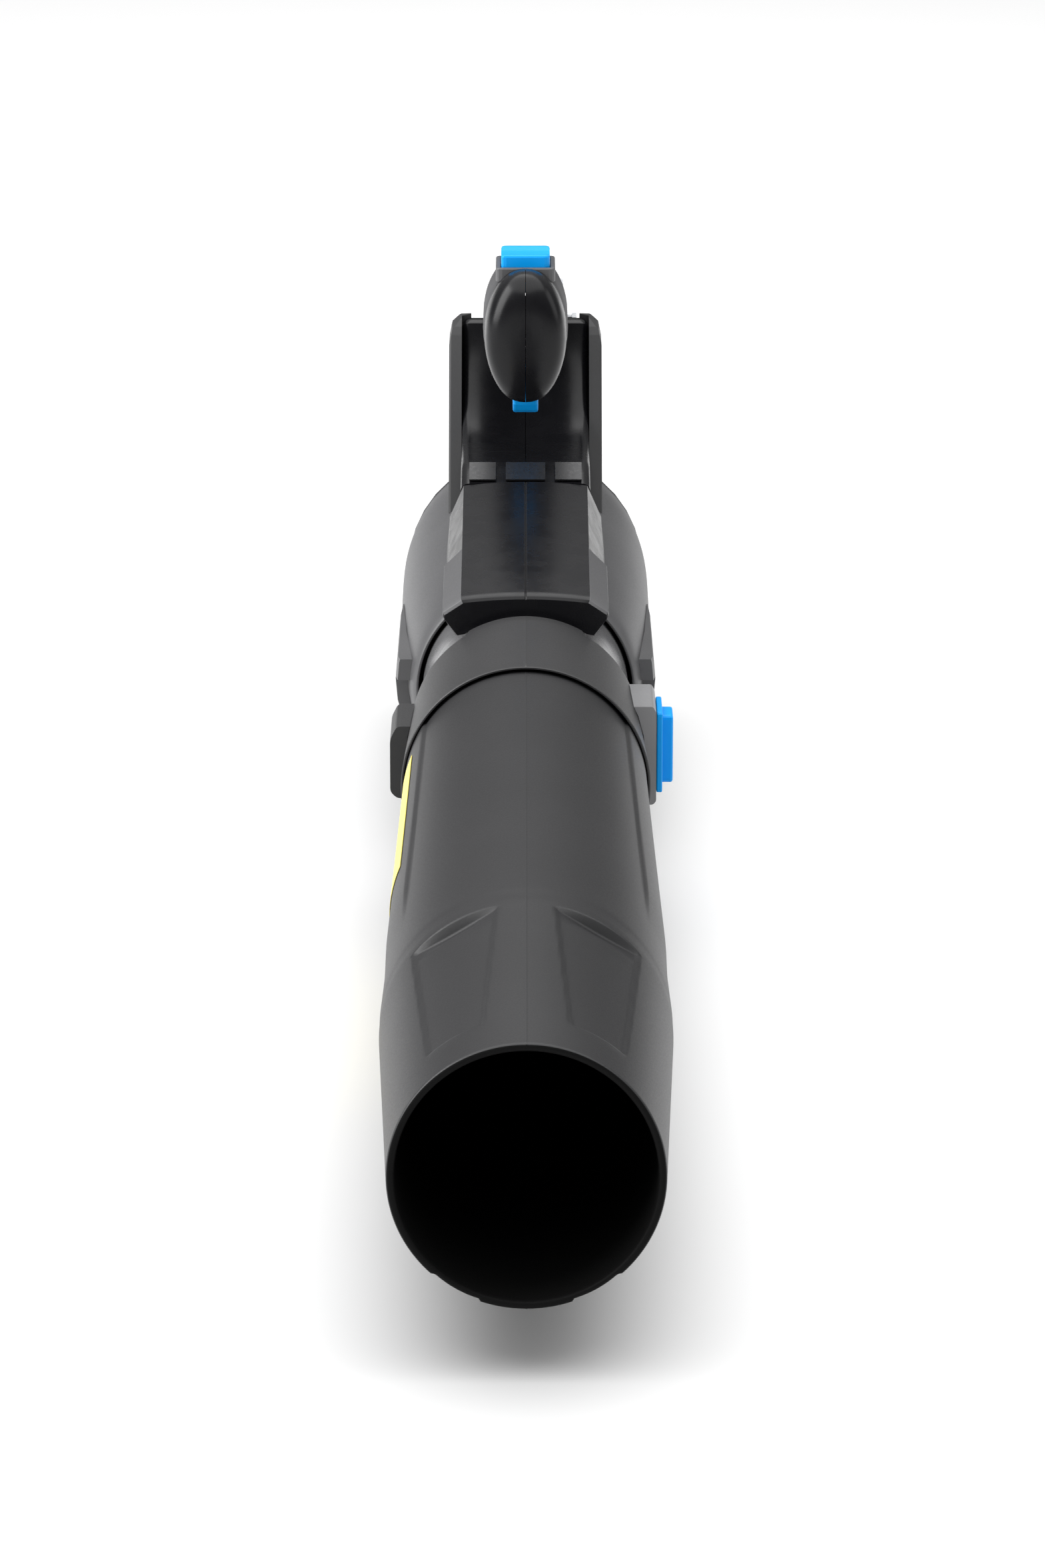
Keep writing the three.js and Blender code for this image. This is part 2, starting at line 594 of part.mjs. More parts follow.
const barrelCore = (lift) => revolved([
  [0, -lift], ...barrelProfile(lift), [barrelRearRadius + lift, FAR], [0, FAR],
]);

function barrel() {
  const outside = revolved([[0, 0], ...barrelProfile(0), [0, BARREL_LENGTH]]);
  const inside = revolved([
    [0, -1], [barrelMouthRadius - 1.4, -1], ...barrelProfile(-BARREL_WALL).slice(1, -1),
    [barrelRearRadius - BARREL_WALL, BARREL_LENGTH + 1], [0, BARREL_LENGTH + 1],
  ]);
  const screwHoles = footScrews.map(([x, y]) => rod('z', THREAD_RADIUS + 0.1 + GAP, -FAR, 0, [x, y]));
  return cut(outside, inside, ...screwHoles);
}

// A raised cheek low on each side of the barrel's mouth, with a vent pocket in its front.
function sideGuard(side) {
  const ring = revolved([
    [0, GUARD_FRONT], [guardFace - 1, GUARD_FRONT], [guardFace, GUARD_FRONT + 6],
    [guardFace, GUARD_REAR - 16], [BARREL_RADIUS, GUARD_REAR], [0, GUARD_REAR],
  ]);
  const reach = box(BARREL_RADIUS - GUARD_INSET, FAR, 0, FAR, guardFoot, GUARD_TOP);
  const pocket = box(guardFace - 8, FAR, 0, GUARD_FRONT + 12, guardFoot + 14, GUARD_TOP - 10);
  const guard = cut(ring.intersect(reach), barrelCore(GAP), pocket);
  return side > 0 ? guard : guard.mirror([1, 0, 0]);
}

// ---------- Hood ----------

function hoodBlock(inset) {
  const half = HOOD_HALF_WIDTH - inset;
  const top = -inset;
  const flat = HOOD_TOP_HALF_WIDTH - inset;
  const section = new THREE.Shape();
  section.moveTo(-half, -60);
  section.lineTo(half, -60);
  section.lineTo(half, top - 12);
  section.lineTo(flat, top);
  section.quadraticCurveTo(0, top + 3.6, -flat, top);
  section.lineTo(-half, top - 12);
  section.closePath();
  const from = inset - hoodOverhang;
  const to = HOOD_REACH - inset;
  const heightAtMouth = hoodFrontHeight + Math.tan(THREE.MathUtils.degToRad(HOOD_SLOPE)) * hoodOverhang;
  return fromFront(section, from - 20, to + 20)
    .rotate([HOOD_SLOPE, 0, 0])
    .translate([0, 0, heightAtMouth])
    .intersect(box(-FAR, FAR, from, to, 0, FAR));
}

function hoodCover() {
  const lip = rounded([
    [-hoodOverhang - 1, hoodFrontHeight + 20, 0], [-hoodOverhang - 1, hoodFrontHeight - 2, 0],
    [-hoodOverhang + 4, hoodFrontHeight + 0.5, 0], [-hoodOverhang + 4, hoodFrontHeight + 20, 0],
  ]);
  const below = revolved([[0, -FAR], [neckRadius + 1.6, -FAR], [neckRadius + 1.6, 20], [0, 20]]);
  const hollow = hoodBlock(HOOD_WALL).intersect(box(-FAR, FAR, 10, FAR, 0, FAR));
  const sides = box(-FAR, FAR, -FAR, FAR, 0, neckRadius - HOOD_SIDE_DROP);
  return cut(hoodBlock(0), fromSide(lip, 200), below, hollow, barrelCore(GAP), sides);
}

// ---------- Saddle and handle ----------

const gripFront = saddleFront + 2;
const rootRear = roofRear - 4;

// Side view of the saddle under the fingers, rising to the back.
function saddleOutline() {
  const shape = new THREE.Shape();
  shape.moveTo(saddleFront, BARREL_RADIUS - 15);
  shape.lineTo(saddleFront, saddleTop - SADDLE_BAND);
  shape.lineTo(saddleFront + SADDLE_BAND_LENGTH, saddleTop);
  shape.lineTo(saddleFront + 58, saddleTop);
  shape.bezierCurveTo(
    saddleFront + 88, saddleTop, saddleRear - 14, gripUnder - 12, saddleRear - 8, bodyTop - 3.5,
  );
  shape.lineTo(saddleRear, bodyTop - 3.5);
  shape.lineTo(saddleRear, BARREL_RADIUS - 15);
  shape.closePath();
  return shape;
}

// Side view of the handle: a nose, a grip, and a root that comes down behind the saddle.
function gripOutline() {
  const shape = new THREE.Shape();
  shape.moveTo(gripFront + 10, gripUnder + 2.5);
  shape.bezierCurveTo(gripFront + 2, gripUnder + 8, gripFront, gripUnder + 22, gripFront, gripUnder + 33);
  shape.bezierCurveTo(
    gripFront + 1, gripTop - 13, gripFront + 10, gripTop - 4, gripFront + 28, gripTop - 1.5,
  );
  shape.bezierCurveTo(
    gripFront + 56, gripTop - 1, gripFront + 84, gripTop - 7, gripFront + 110, gripTop - 12,
  );
  shape.bezierCurveTo(rootRear - 44, gripTop - 18, rootRear - 10, gripTop - 32, rootRear, roofTop + GAP);
  shape.lineTo(saddleRear + GAP, roofTop + GAP);
  shape.lineTo(saddleRear - 6, roofTop - 12);
  shape.bezierCurveTo(
    saddleRear - 12, gripUnder - 6, saddleRear - 18, gripUnder, saddleRear - 34, gripUnder,
  );
  shape.lineTo(gripFront + 22, gripUnder);
  shape.closePath();
  return shape;
}

// Front view of the grip: widest above the middle, narrower at the chin and the brow.
function gripSection() {
  const half = GRIP_WIDTH / 2;
  const shape = new THREE.Shape();
  shape.moveTo(0, gripUnder - 40);
  shape.lineTo(half * 0.62, gripUnder - 40);
  shape.lineTo(half * 0.62, gripUnder + 1);
  shape.bezierCurveTo(half * 0.95, gripUnder + 12, half, gripUnder + 22, half, gripUnder + 32);
  shape.bezierCurveTo(half, gripUnder + 44, half * 0.85, gripTop - 6, half * 0.72, gripTop + 4);
  shape.lineTo(-half * 0.72, gripTop + 4);
  shape.bezierCurveTo(-half * 0.85, gripTop - 6, -half, gripUnder + 44, -half, gripUnder + 32);
  shape.bezierCurveTo(-half, gripUnder + 22, -half * 0.95, gripUnder + 12, -half * 0.62, gripUnder + 1);
  shape.lineTo(-half * 0.62, gripUnder - 40);
  shape.closePath();
  return shape;
}

// Plan of the grip: a round nose.
const gripPlan = () => rounded([
  [-GRIP_WIDTH / 2, gripFront, 16], [GRIP_WIDTH / 2, gripFront, 16], [GRIP_WIDTH / 2, FAR, 0],
  [-GRIP_WIDTH / 2, FAR, 0],
]);

// Front view of the root: straight sides under a rounded top.
const rootSection = () => rounded([
  [-GRIP_WIDTH / 2, 0, 0], [GRIP_WIDTH / 2, 0, 0],
  [GRIP_WIDTH / 2, gripTop, 12], [-GRIP_WIDTH / 2, gripTop, 12],
]);

const stripBend = GRIP_DEPTH / 6;
const stripOutline = rounded([
  [gripFront + 16, gripUnder + 16, 8], [gripFront + 60, gripUnder + 12, 6],
  [saddleRear - 8, gripUnder + 14, stripBend], [saddleRear + 6, gripTop - 22, stripBend],
  [saddleRear - 24, gripTop - 13, 8], [gripFront + 26, gripTop - 12, 10],
]);

function handle() {
  const outline = gripOutline();
  const grip = fromSide(outline, GRIP_WIDTH)
    .intersect(fromFront(gripSection(), 0, saddleRear + 14))
    .intersect(fromAbove(gripPlan(), 0, FAR));
  const root = fromSide(outline, GRIP_WIDTH).intersect(fromFront(rootSection(), saddleRear + 4, FAR));
  const shoulders = fromFront(rounded([
    [-shoulderHalfWidth, roofTop + GAP, 0], [shoulderHalfWidth, roofTop + GAP, 0],
    [shoulderHalfWidth, bodyTop - 5, 4], [shoulderHalfWidth - 6, bodyTop + 2, 4],
    [-shoulderHalfWidth + 6, bodyTop + 2, 4], [-shoulderHalfWidth, bodyTop - 5, 4],
  ]), bayFront + 1, bayFront + 42);
  const saddle = fromSide(saddleOutline(), saddleWidth, { edge: 3 });
  const switchRoom = slab(24, gripFront + 11, gripFront + 84, gripUnder + 4, gripTop - 13);
  const leadRoom = slab(LEAD_ROOM, gripFront + 80, saddleRear + 4, leadHeight - 6, leadHeight + 7);
  const leadDrop = slab(LEAD_ROOM, saddleRear - 14, saddleRear - 2, BARREL_RADIUS + 4, leadHeight + 7);
  const boardRoom = slab(
    saddleWidth - 7, saddleFront + 3, saddleRear - 4, BARREL_RADIUS - 20, saddleTop - 3,
  );
  const triggerSlot = slab(
    TRIGGER_WIDTH + 0.9, triggerPivot.y - 6.5, triggerPivot.y + 47, gripUnder - 10, gripUnder + 5,
  );
  const bezelSeat = slab(
    bezelWidth + 2 * GAP, buttonMiddle - BUTTON_LENGTH / 2 - BEZEL_BORDER - GAP,
    buttonMiddle + BUTTON_LENGTH / 2 + BEZEL_BORDER + GAP, bezelTop - BEZEL_DEPTH, FAR,
  );
  const stemHole = slab(10, buttonMiddle - 5, buttonMiddle + 5, gripTop - 20, FAR);
  const pinHole = rod(
    'x', PIN_RADIUS + GAP, -PIN_HALF_LENGTH - 0.5, PIN_HALF_LENGTH + 0.5, [triggerPivot.y, triggerPivot.z],
  );
  const stripSeats = [-1, 1].map((side) => fromSide(stripOutline, 20, {
    grow: GAP, x: side * (GRIP_WIDTH / 2 - STRIP_DEPTH + 10 + GAP),
  }));
  const screwCuts = screwPlaces.flatMap(([y, z, face]) => screwCut(y, z, face));
  return cut(
    join(grip, root, shoulders, saddle), barrelCore(GAP), switchRoom, leadRoom, leadDrop, boardRoom,
    triggerSlot, bezelSeat, stemHole, pinHole, ...stripSeats, ...screwCuts,
  );
}

function gripStrip(side) {
  const inner = GRIP_WIDTH / 2 - STRIP_DEPTH + GAP;
  return fromSide(stripOutline, STRIP_DEPTH, { x: side * (inner + STRIP_DEPTH / 2) })
    .intersect(fromFront(gripSection(), 0, FAR, { grow: 0.3 }));
}

// Screws that draw the two halves together: [y, z, outer face].
const screwPlaces = [
  [saddleRear + 26, roofTop + 15, shoulderHalfWidth],
  [saddleRear + 18, gripTop - 30, GRIP_WIDTH / 2],
];
const bodyScrewPlace = [bayFront - 4.8, BARREL_RADIUS + 6, BODY_WIDTH / 2];
function screwCut(y, z, face) {
  return [
    rod('x', HEAD_RADIUS + GAP, face - HEAD_SINK, FAR, [y, z], 8),
    rod('x', THREAD_RADIUS + GAP, -SCREW_REACH - GAP, face, [y, z], 8),
  ];
}

function screw(y, z, face) {
  const headBottom = face - HEAD_SINK + GAP;
  const head = rod('x', HEAD_RADIUS, headBottom, headBottom + 2.2, [y, z], 8);
  const recess = box(headBottom + 1.2, FAR, y - 0.4, y + 0.4, z - 1.9, z + 1.9);
  const cross = box(headBottom + 1.2, FAR, y - 1.9, y + 1.9, z - 0.4, z + 0.4);
  const thread = rod('x', THREAD_RADIUS, -SCREW_REACH, headBottom + 1, [y, z], 8);
  return cut(join(head, thread), recess, cross);
}

// ---------- Rear body that takes the battery ----------

function rearBodyOutline() {
  const cheekTop = saddleRear - CHEEK_CREST;
  const cheekFoot = cheekTop - CHEEK_LEAN;
  const skirt = BARREL_RADIUS - SKIRT_DROP;
  return rounded([
    [cheekFoot, skirt, 0], [cheekTop, bodyTop - 2, 7], [saddleRear, bodyTop, 2],
    [bayFront - 2, bodyTop - 2, 2], [bayFront + 6, roofTop, 3], [roofRear, roofTop, 1.5],
    [roofRear, tongueFoot + GAP, 0], [bayFront, tongueFoot + GAP, 0], [bayFront, skirt, 0],
  ]);
}

// Front view of the rear body: upright sides under round shoulders.
const bodySection = () => rounded([
  [-BODY_WIDTH / 2, 0, 0], [BODY_WIDTH / 2, 0, 0],
  [BODY_WIDTH / 2, bodyTop, BODY_SHOULDER], [-BODY_WIDTH / 2, bodyTop, BODY_SHOULDER],
]);

function rearBody() {
  const whole = fromSide(rearBodyOutline(), BODY_WIDTH, { edge: 1 })
    .intersect(fromFront(bodySection(), 0, FAR));
  const saddleRoom = slab(saddleWidth + 2 * GAP, 0, saddleRear + GAP, 0, FAR);
  const rootRoom = slab(2 * (shoulderHalfWidth + GAP), saddleRear - 20, FAR, roofTop, FAR);
  const tongueRoom = slab(
    2 * (tongueHalfWidth + GAP), bayFront, FAR, tongueFoot - 5, tongueTop + GAP,
  );
  const terminalRoom = slab(
    TERMINAL_WIDTH + 1, saddleRear - 1, bayFront + 1,
    terminalFoot - 0.5, terminalFoot + TERMINAL_HEIGHT + 0.5,
  );
  const rails = [-1, 1].map((side) => {
    const inner = tongueHalfWidth - RAIL_DEPTH;
    const outer = tongueHalfWidth + 2;
    return box(
      Math.min(side * inner, side * outer), Math.max(side * inner, side * outer),
      bayFront - 1, roofRear - 3, railFoot, railFoot + RAIL_THICKNESS,
    );
  });
  const body = cut(
    whole, saddleRoom, rootRoom, tongueRoom, terminalRoom, barrelCore(GAP), ...screwCut(...bodyScrewPlace),
  );
  return join(body, ...rails);
}

// ---------- Battery ----------

function batterySolid() {
  const rear = bayFront + GAP + BATTERY_LENGTH;
  const low = fromSide(rounded([
    [bayFront + GAP, batteryFloor, 3], [rear, batteryFloor, 8], [rear, tongueFoot + 16, 6],
    [roofRear + 3, tongueFoot + 16, 2], [roofRear + 3, tongueFoot, 0], [bayFront + GAP, tongueFoot, 0],
  ]), BODY_WIDTH, { edge: 1 });
  const tongue = slab(
    2 * tongueHalfWidth, bayFront + GAP, latchPadFront + 1, tongueFoot - 4, tongueTop,
  );
  const grooves = [-1, 1].map((side) => {
    const inner = side * (tongueHalfWidth - RAIL_DEPTH - GAP);
    const outer = side * (tongueHalfWidth + 0.1);
    return box(
      Math.min(inner, outer), Math.max(inner, outer), bayFront - 1, roofRear + 1,
      railFoot - GAP, railFoot + RAIL_THICKNESS + GAP,
    );
  });
  const cells = slab(BODY_WIDTH - 6, bayFront + 4, rear - 4, batteryFloor + 3, tongueTop - 3)
    .intersect(join(
      slab(BODY_WIDTH - 6, 0, FAR, 0, tongueFoot - 1),
      slab(2 * (tongueHalfWidth - RAIL_DEPTH - 2.5), 0, roofRear - 2, 0, tongueTop - 3),
    ));
  const latchRoom = slab(
    2 * (LATCH_PAD_HALF_WIDTH + GAP), latchPadFront - GAP, latchPadFront + LATCH_PAD_LENGTH + GAP,
    railFoot, FAR,
  );
  return cut(join(low, tongue), ...grooves, cells, latchRoom);
}

const batteryLower = () => batterySolid().intersect(
  box(-FAR, FAR, 0, FAR, 0, batterySplit - SEAM / 2),
);
const batteryUpper = () => batterySolid().intersect(
  box(-FAR, FAR, 0, FAR, batterySplit + SEAM / 2, FAR),
);

// One row of cells lying across the pack, joined by their holder.
function batteryCells() {
  const pitch = 2 * CELL_RADIUS + 0.6;
  const count = Math.floor((BATTERY_LENGTH - 12) / pitch);
  const height = batteryFloor + 4 + CELL_RADIUS;
  const first = bayFront + 7 + CELL_RADIUS;
  const cells = Array.from({ length: count }, (_, i) => rod(
    'x', CELL_RADIUS, CELL_MARGIN - BODY_WIDTH / 2, BODY_WIDTH / 2 - CELL_MARGIN,
    [first + i * pitch, height], 14,
  ));
  const holder = slab(8, first, first + (count - 1) * pitch, height - 5, height + 5);
  return join(holder, ...cells);
}

const batteryLatch = () => slab(
  2 * LATCH_PAD_HALF_WIDTH, latchPadFront, latchPadFront + LATCH_PAD_LENGTH, latchPadFoot, latchPadTop,
);

function latchSpring() {
  const floor = railFoot + SPRING_GAP;
  return coil(SPRING_RADIUS, SPRING_WIRE, latchPadFoot - SPRING_GAP - floor, 3)
    .translate([0, latchPadFront + LATCH_PAD_LENGTH / 2, floor]);
}

// ---------- Fan, motor and duct ----------

const motorFront = BARREL_LENGTH - MOTOR_SETBACK;
const motorRear = motorFront + MOTOR_LENGTH;
const fanFront = motorRear + FAN_SETBACK;
const fanRear = fanFront + FAN_LENGTH;
const ductRear = BARREL_LENGTH - 4;

// A blade or vane standing out along +Z, its tip following a circle about the air axis.
function blade(rootRadius, tipRadius, chord, thickness, rootPitch, tipPitch) {
  const span = tipRadius - rootRadius;
  const geometry = new THREE.BoxGeometry(thickness, chord, span, 1, 2, 3);
  geometry.translate(0, 0, rootRadius + span / 2);
  const places = geometry.getAttribute('position');
  for (let i = 0; i < places.count; i += 1) {
    const radius = places.getZ(i);
    const share = (radius - rootRadius) / span;
    const pitch = THREE.MathUtils.degToRad(rootPitch + (tipPitch - rootPitch) * share);
    const [x, y] = [places.getX(i), places.getY(i)];
    const across = x * Math.cos(pitch) + y * Math.sin(pitch);
    const along = y * Math.cos(pitch) - x * Math.sin(pitch);
    places.setXYZ(i, across, along, Math.sqrt(radius * radius - across * across));
  }
  return solidOf(geometry);
}

function around(count, make) {
  return Array.from({ length: count }, (_, i) => make().rotate([0, (360 / count) * i, 0]));
}

// The duct round the fan.
function fanDuct() {
  return revolved([
    [neckBore + 0.4, DUCT_FRONT], [neckBore + 0.4 + DUCT_WALL, DUCT_FRONT], [ductRadius + DUCT_WALL, 72],
    [ductRadius + DUCT_WALL, ductRear - 5], [barrelRearRadius - BARREL_WALL - GAP, ductRear - 5],
    [barrelRearRadius - BARREL_WALL - GAP, ductRear], [ductRadius, ductRear], [ductRadius, 76],
  ]);
}

// Motor housing with the straightening vanes that hold it in the duct.
function motorHousing() {
  const shell = revolved([
    [BEARING_RADIUS + GAP, motorFront], [MOTOR_RADIUS, motorFront], [MOTOR_RADIUS, motorRear],
    [MOTOR_RADIUS - MOTOR_WALL, motorRear], [MOTOR_RADIUS - MOTOR_WALL, motorFront + 4],
    [BEARING_RADIUS + GAP, motorFront + 4],
  ], SMALL_ROUND);
  const vanes = around(VANE_COUNT, () => blade(MOTOR_RADIUS - 1.2, ductRadius - GAP, VANE_CHORD, 2, 8, 14)
    .translate([0, motorFront + 32, 0]));
  return join(shell, ...vanes);
}

function motorStator() {
  const outer = MOTOR_RADIUS - MOTOR_WALL - GAP;
  const inner = ROTOR_RADIUS + 0.8;
  const [front, rear] = [motorFront + 13, motorRear - 12];
  const ring = revolved([[inner, front], [outer, front], [outer, rear], [inner, rear]], SMALL_ROUND);
  const slots = around(6, () => box(-1, 1, front - 1, rear + 1, inner - 1, outer - 2.5));
  return cut(ring, ...slots);
}

function motorCap() {
  const outer = MOTOR_RADIUS - MOTOR_WALL - GAP;
  return revolved([
    [BEARING_RADIUS + GAP, motorRear - 7], [outer, motorRear - 7], [outer, motorRear - 1],
    [BEARING_RADIUS + GAP, motorRear - 1],
  ], SMALL_ROUND);
}

function bearing(y) {
  return revolved([
    [SHAFT_RADIUS + GAP, y], [BEARING_RADIUS, y], [BEARING_RADIUS, y + BEARING_WIDTH],
    [SHAFT_RADIUS + GAP, y + BEARING_WIDTH],
  ], SMALL_ROUND);
}

const rotorCore = () => revolved([
  [SHAFT_RADIUS + GAP, motorFront + 15], [ROTOR_RADIUS, motorFront + 15], [ROTOR_RADIUS, motorRear - 14],
  [SHAFT_RADIUS + GAP, motorRear - 14],
], SMALL_ROUND);

const motorShaft = () => rod('y', SHAFT_RADIUS, motorFront + 1, fanRear - 1, [0, 0], 16);

function fanImpeller() {
  const hub = revolved([
    [SHAFT_RADIUS + GAP, fanFront + 5], [FAN_HUB_RADIUS - 2.5, fanFront + 5],
    [FAN_HUB_RADIUS - 2.5, fanFront], [FAN_HUB_RADIUS, fanFront], [FAN_HUB_RADIUS, fanRear],
    [SHAFT_RADIUS + GAP, fanRear],
  ], SMALL_ROUND);
  const blades = around(BLADE_COUNT, () => blade(
    FAN_HUB_RADIUS - 1.2, ductRadius - FAN_TIP_GAP, FAN_LENGTH + 2, 2, -42, -60,
  ).translate([0, fanFront + FAN_LENGTH / 2, 0]));
  return join(hub, ...blades);
}

function fanSpinner() {
  const base = fanRear + GAP;
  const dome = Array.from({ length: 5 }, (_, i) => {
    const angle = (Math.PI / 2) * (i / 4);
    return [FAN_HUB_RADIUS * Math.cos(angle), base + SPINNER_LENGTH * Math.sin(angle)];
  });
  dome[4][0] = 0;
  return revolved([[0, base], ...dome], SMALL_ROUND);
}

const tailCone = () => revolved([
  [0, motorFront - TAIL_LENGTH], [4, motorFront - TAIL_LENGTH + 1], [11, motorFront - 0.74 * TAIL_LENGTH],
  [17.5, motorFront - 0.38 * TAIL_LENGTH],
  [MOTOR_RADIUS, motorFront - GAP], [0, motorFront - GAP],
], SMALL_ROUND);

// Domed guard over the intake: a rim, two rings and ribs.
function intakeGrille() {
  const front = BARREL_LENGTH + GAP;
  const reach = barrelRearRadius - 1;
  const depthAt = (r) => front + GRILLE_RISE - (GRILLE_RISE - 6) * (r / reach) ** 2;
  const rim = revolved([
    [reach - 5, front], [barrelRearRadius, front], [barrelRearRadius, front + 5], [reach, front + 8],
    [reach - 5, front + 8],
  ]);
  const ring = (r) => revolved([
    [r - 1.3, depthAt(r) - 4], [r + 1.3, depthAt(r) - 4],
    [r + 1.3, depthAt(r) - 0.5], [r - 1.3, depthAt(r) - 0.5],
  ], SMALL_ROUND);
  const hub = revolved([
    [0, depthAt(0) - 4], [9, depthAt(9) - 4], [9, depthAt(9) - 0.5], [0, depthAt(0)],
  ], SMALL_ROUND);
  const radii = [0.09, 0.35, 0.61, 0.82, 0.965].map((share) => share * reach);
  const ribShape = new THREE.Shape([
    ...radii.map((r) => new THREE.Vector2(depthAt(r), r)),
    ...radii.toReversed().map((r) => new THREE.Vector2(depthAt(r) - 3.2, r)),
  ]);
  const ribs = around(GRILLE_RIB_COUNT, () => fromSide(ribShape, GRILLE_RIB));
  return join(rim, hub, ring(0.39 * reach), ring(0.67 * reach), ...ribs);
}

// ---------- Controls ----------

function trigger() {
  const { y, z } = triggerPivot;
  const shape = new THREE.Shape();
  shape.moveTo(y - 4.5, z);
  shape.bezierCurveTo(y - 4.5, z + 6, y + 4.5, z + 6, y + 9, z + 2);
  shape.lineTo(y + 42, z - 3);
  shape.lineTo(y + 43, z - 8);
  shape.bezierCurveTo(y + 39, z - 15, y + 31, gripUnder - TRIGGER_DROP, y + 20, gripUnder - TRIGGER_DROP);
  shape.bezierCurveTo(y + 10, gripUnder - TRIGGER_DROP, y + 1, gripUnder - 9, y - 2, gripUnder - 5);
  shape.closePath();
  return cut(fromSide(shape, TRIGGER_WIDTH, { edge: 1.2 }), rod('x', PIN_RADIUS + GAP, -FAR, FAR, [y, z]));
}

const triggerPin = () => rod(
  'x', PIN_RADIUS, -PIN_HALF_LENGTH, PIN_HALF_LENGTH, [triggerPivot.y, triggerPivot.z],
);

const triggerSwitch = () => slab(12, gripFront + 54, gripFront + 78, gripUnder + 19, gripUnder + 34);

function triggerSpring() {
  const foot = triggerPivot.z + 1.6;
  const length = speedSwitchFoot - 1 - foot;
  return coil(SPRING_RADIUS - 0.2, SPRING_WIRE, length, 4).translate([0, triggerPivot.y + 18, foot]);
}

const speedSwitch = () => slab(
  14, buttonMiddle - 9, buttonMiddle + 9, speedSwitchFoot, speedSwitchFoot + SPEED_SWITCH_HEIGHT,
);

function buttonBezel() {
  const halfLength = BUTTON_LENGTH / 2 + BEZEL_BORDER;
  const plan = rounded([
    [-bezelWidth / 2, buttonMiddle - halfLength, 3], [bezelWidth / 2, buttonMiddle - halfLength, 3],
    [bezelWidth / 2, buttonMiddle + halfLength, 3], [-bezelWidth / 2, buttonMiddle + halfLength, 3],
  ]);
  const opening = slab(
    BUTTON_WIDTH + 2 * GAP, buttonMiddle - BUTTON_LENGTH / 2 - GAP,
    buttonMiddle + BUTTON_LENGTH / 2 + GAP, 0, FAR,
  );
  return cut(fromAbove(plan, bezelTop - BEZEL_DEPTH + GAP, bezelTop, 0.6), opening);
}

function boostButton() {
  const foot = bezelTop - BEZEL_DEPTH + GAP + BUTTON_TRAVEL;
  const [front, rear] = [buttonMiddle - BUTTON_LENGTH / 2, buttonMiddle + BUTTON_LENGTH / 2];
  const top = bezelTop + BUTTON_PROUD;
  const plan = rounded([
    [-BUTTON_WIDTH / 2, front, 2.5], [BUTTON_WIDTH / 2, front, 2.5],
    [BUTTON_WIDTH / 2, rear, 2.5], [-BUTTON_WIDTH / 2, rear, 2.5],
  ]);
  const hollow = rod('x', 34, -FAR, FAR, [buttonMiddle, top + 32.4], 40);
  const stem = slab(8, buttonMiddle - 4, buttonMiddle + 4, boostStemFoot, foot + 1);
  return join(cut(fromAbove(plan, foot, top, 1), hollow), stem);
}

function boostSpring() {
  const length = boostStemFoot - SPRING_GAP - boostSpringFoot;
  return coil(SPRING_RADIUS, SPRING_WIRE, length, 3.5).translate([0, buttonMiddle, boostSpringFoot]);
}

function controlBoard() {
  const height = BARREL_RADIUS + 5;
  const board = slab(
    saddleWidth - 15, saddleFront + 6, saddleFront + 66, height, height + BOARD_THICKNESS,
  );
  const parts = [[-14, 14, 8], [4, 12, 5], [14, 30, 6], [-12, 40, 7], [6, 50, 4]].map(([x, y, tall]) => box(
    x - 4, x + 5, saddleFront + y, saddleFront + y + 9, height + 1, height + BOARD_THICKNESS + tall,
  ));
  return join(board, ...parts);
}

const terminalBlock = () => slab(
  TERMINAL_WIDTH, saddleRear + 1, bayFront - 1, terminalFoot, terminalFoot + TERMINAL_HEIGHT,
);

// Two-core lead from the switch back over the saddle and down to the control board.
function switchLead() {
  const path = new THREE.CatmullRomCurve3([
    [gripFront + 79, leadHeight - 1], [gripFront + 90, leadHeight], [saddleRear - 18, leadHeight],
    [saddleRear - 8, leadHeight - 10], [saddleRear - 8, gripUnder - 18],
    [saddleRear - 9, BARREL_RADIUS + 16], [saddleRear - 18, BARREL_RADIUS + 8],
    [saddleFront + 76, BARREL_RADIUS + 6],
  ].map(([y, z]) => new THREE.Vector3(0, y, z)));
  const section = new THREE.Shape().absellipse(0, 0, 2.2, 1.6, 0, 2 * Math.PI);
  return solidOf(new THREE.ExtrudeGeometry(section, {
    extrudePath: path, steps: 26, curveSegments: 3, bevelEnabled: false,
  }));
}

// ---------- Foot, plates and screws ----------

const footBottom = -AXIS_HEIGHT + PAD_THICKNESS + GAP;
const padHalf = { x: FOOT_WIDTH / 2 - PAD_MARGIN, y: FOOT_LENGTH / 2 - PAD_MARGIN };
const bayPitch = (FOOT_LENGTH - 84) / 3;
const footScrews = [-1, 1].flatMap((x) => [-1, 1].map((y) => [
  x * FOOT_SCREW_HALF_PITCH, footMiddle + y * (FOOT_LENGTH / 2 - FOOT_SCREW_INSET),
]));

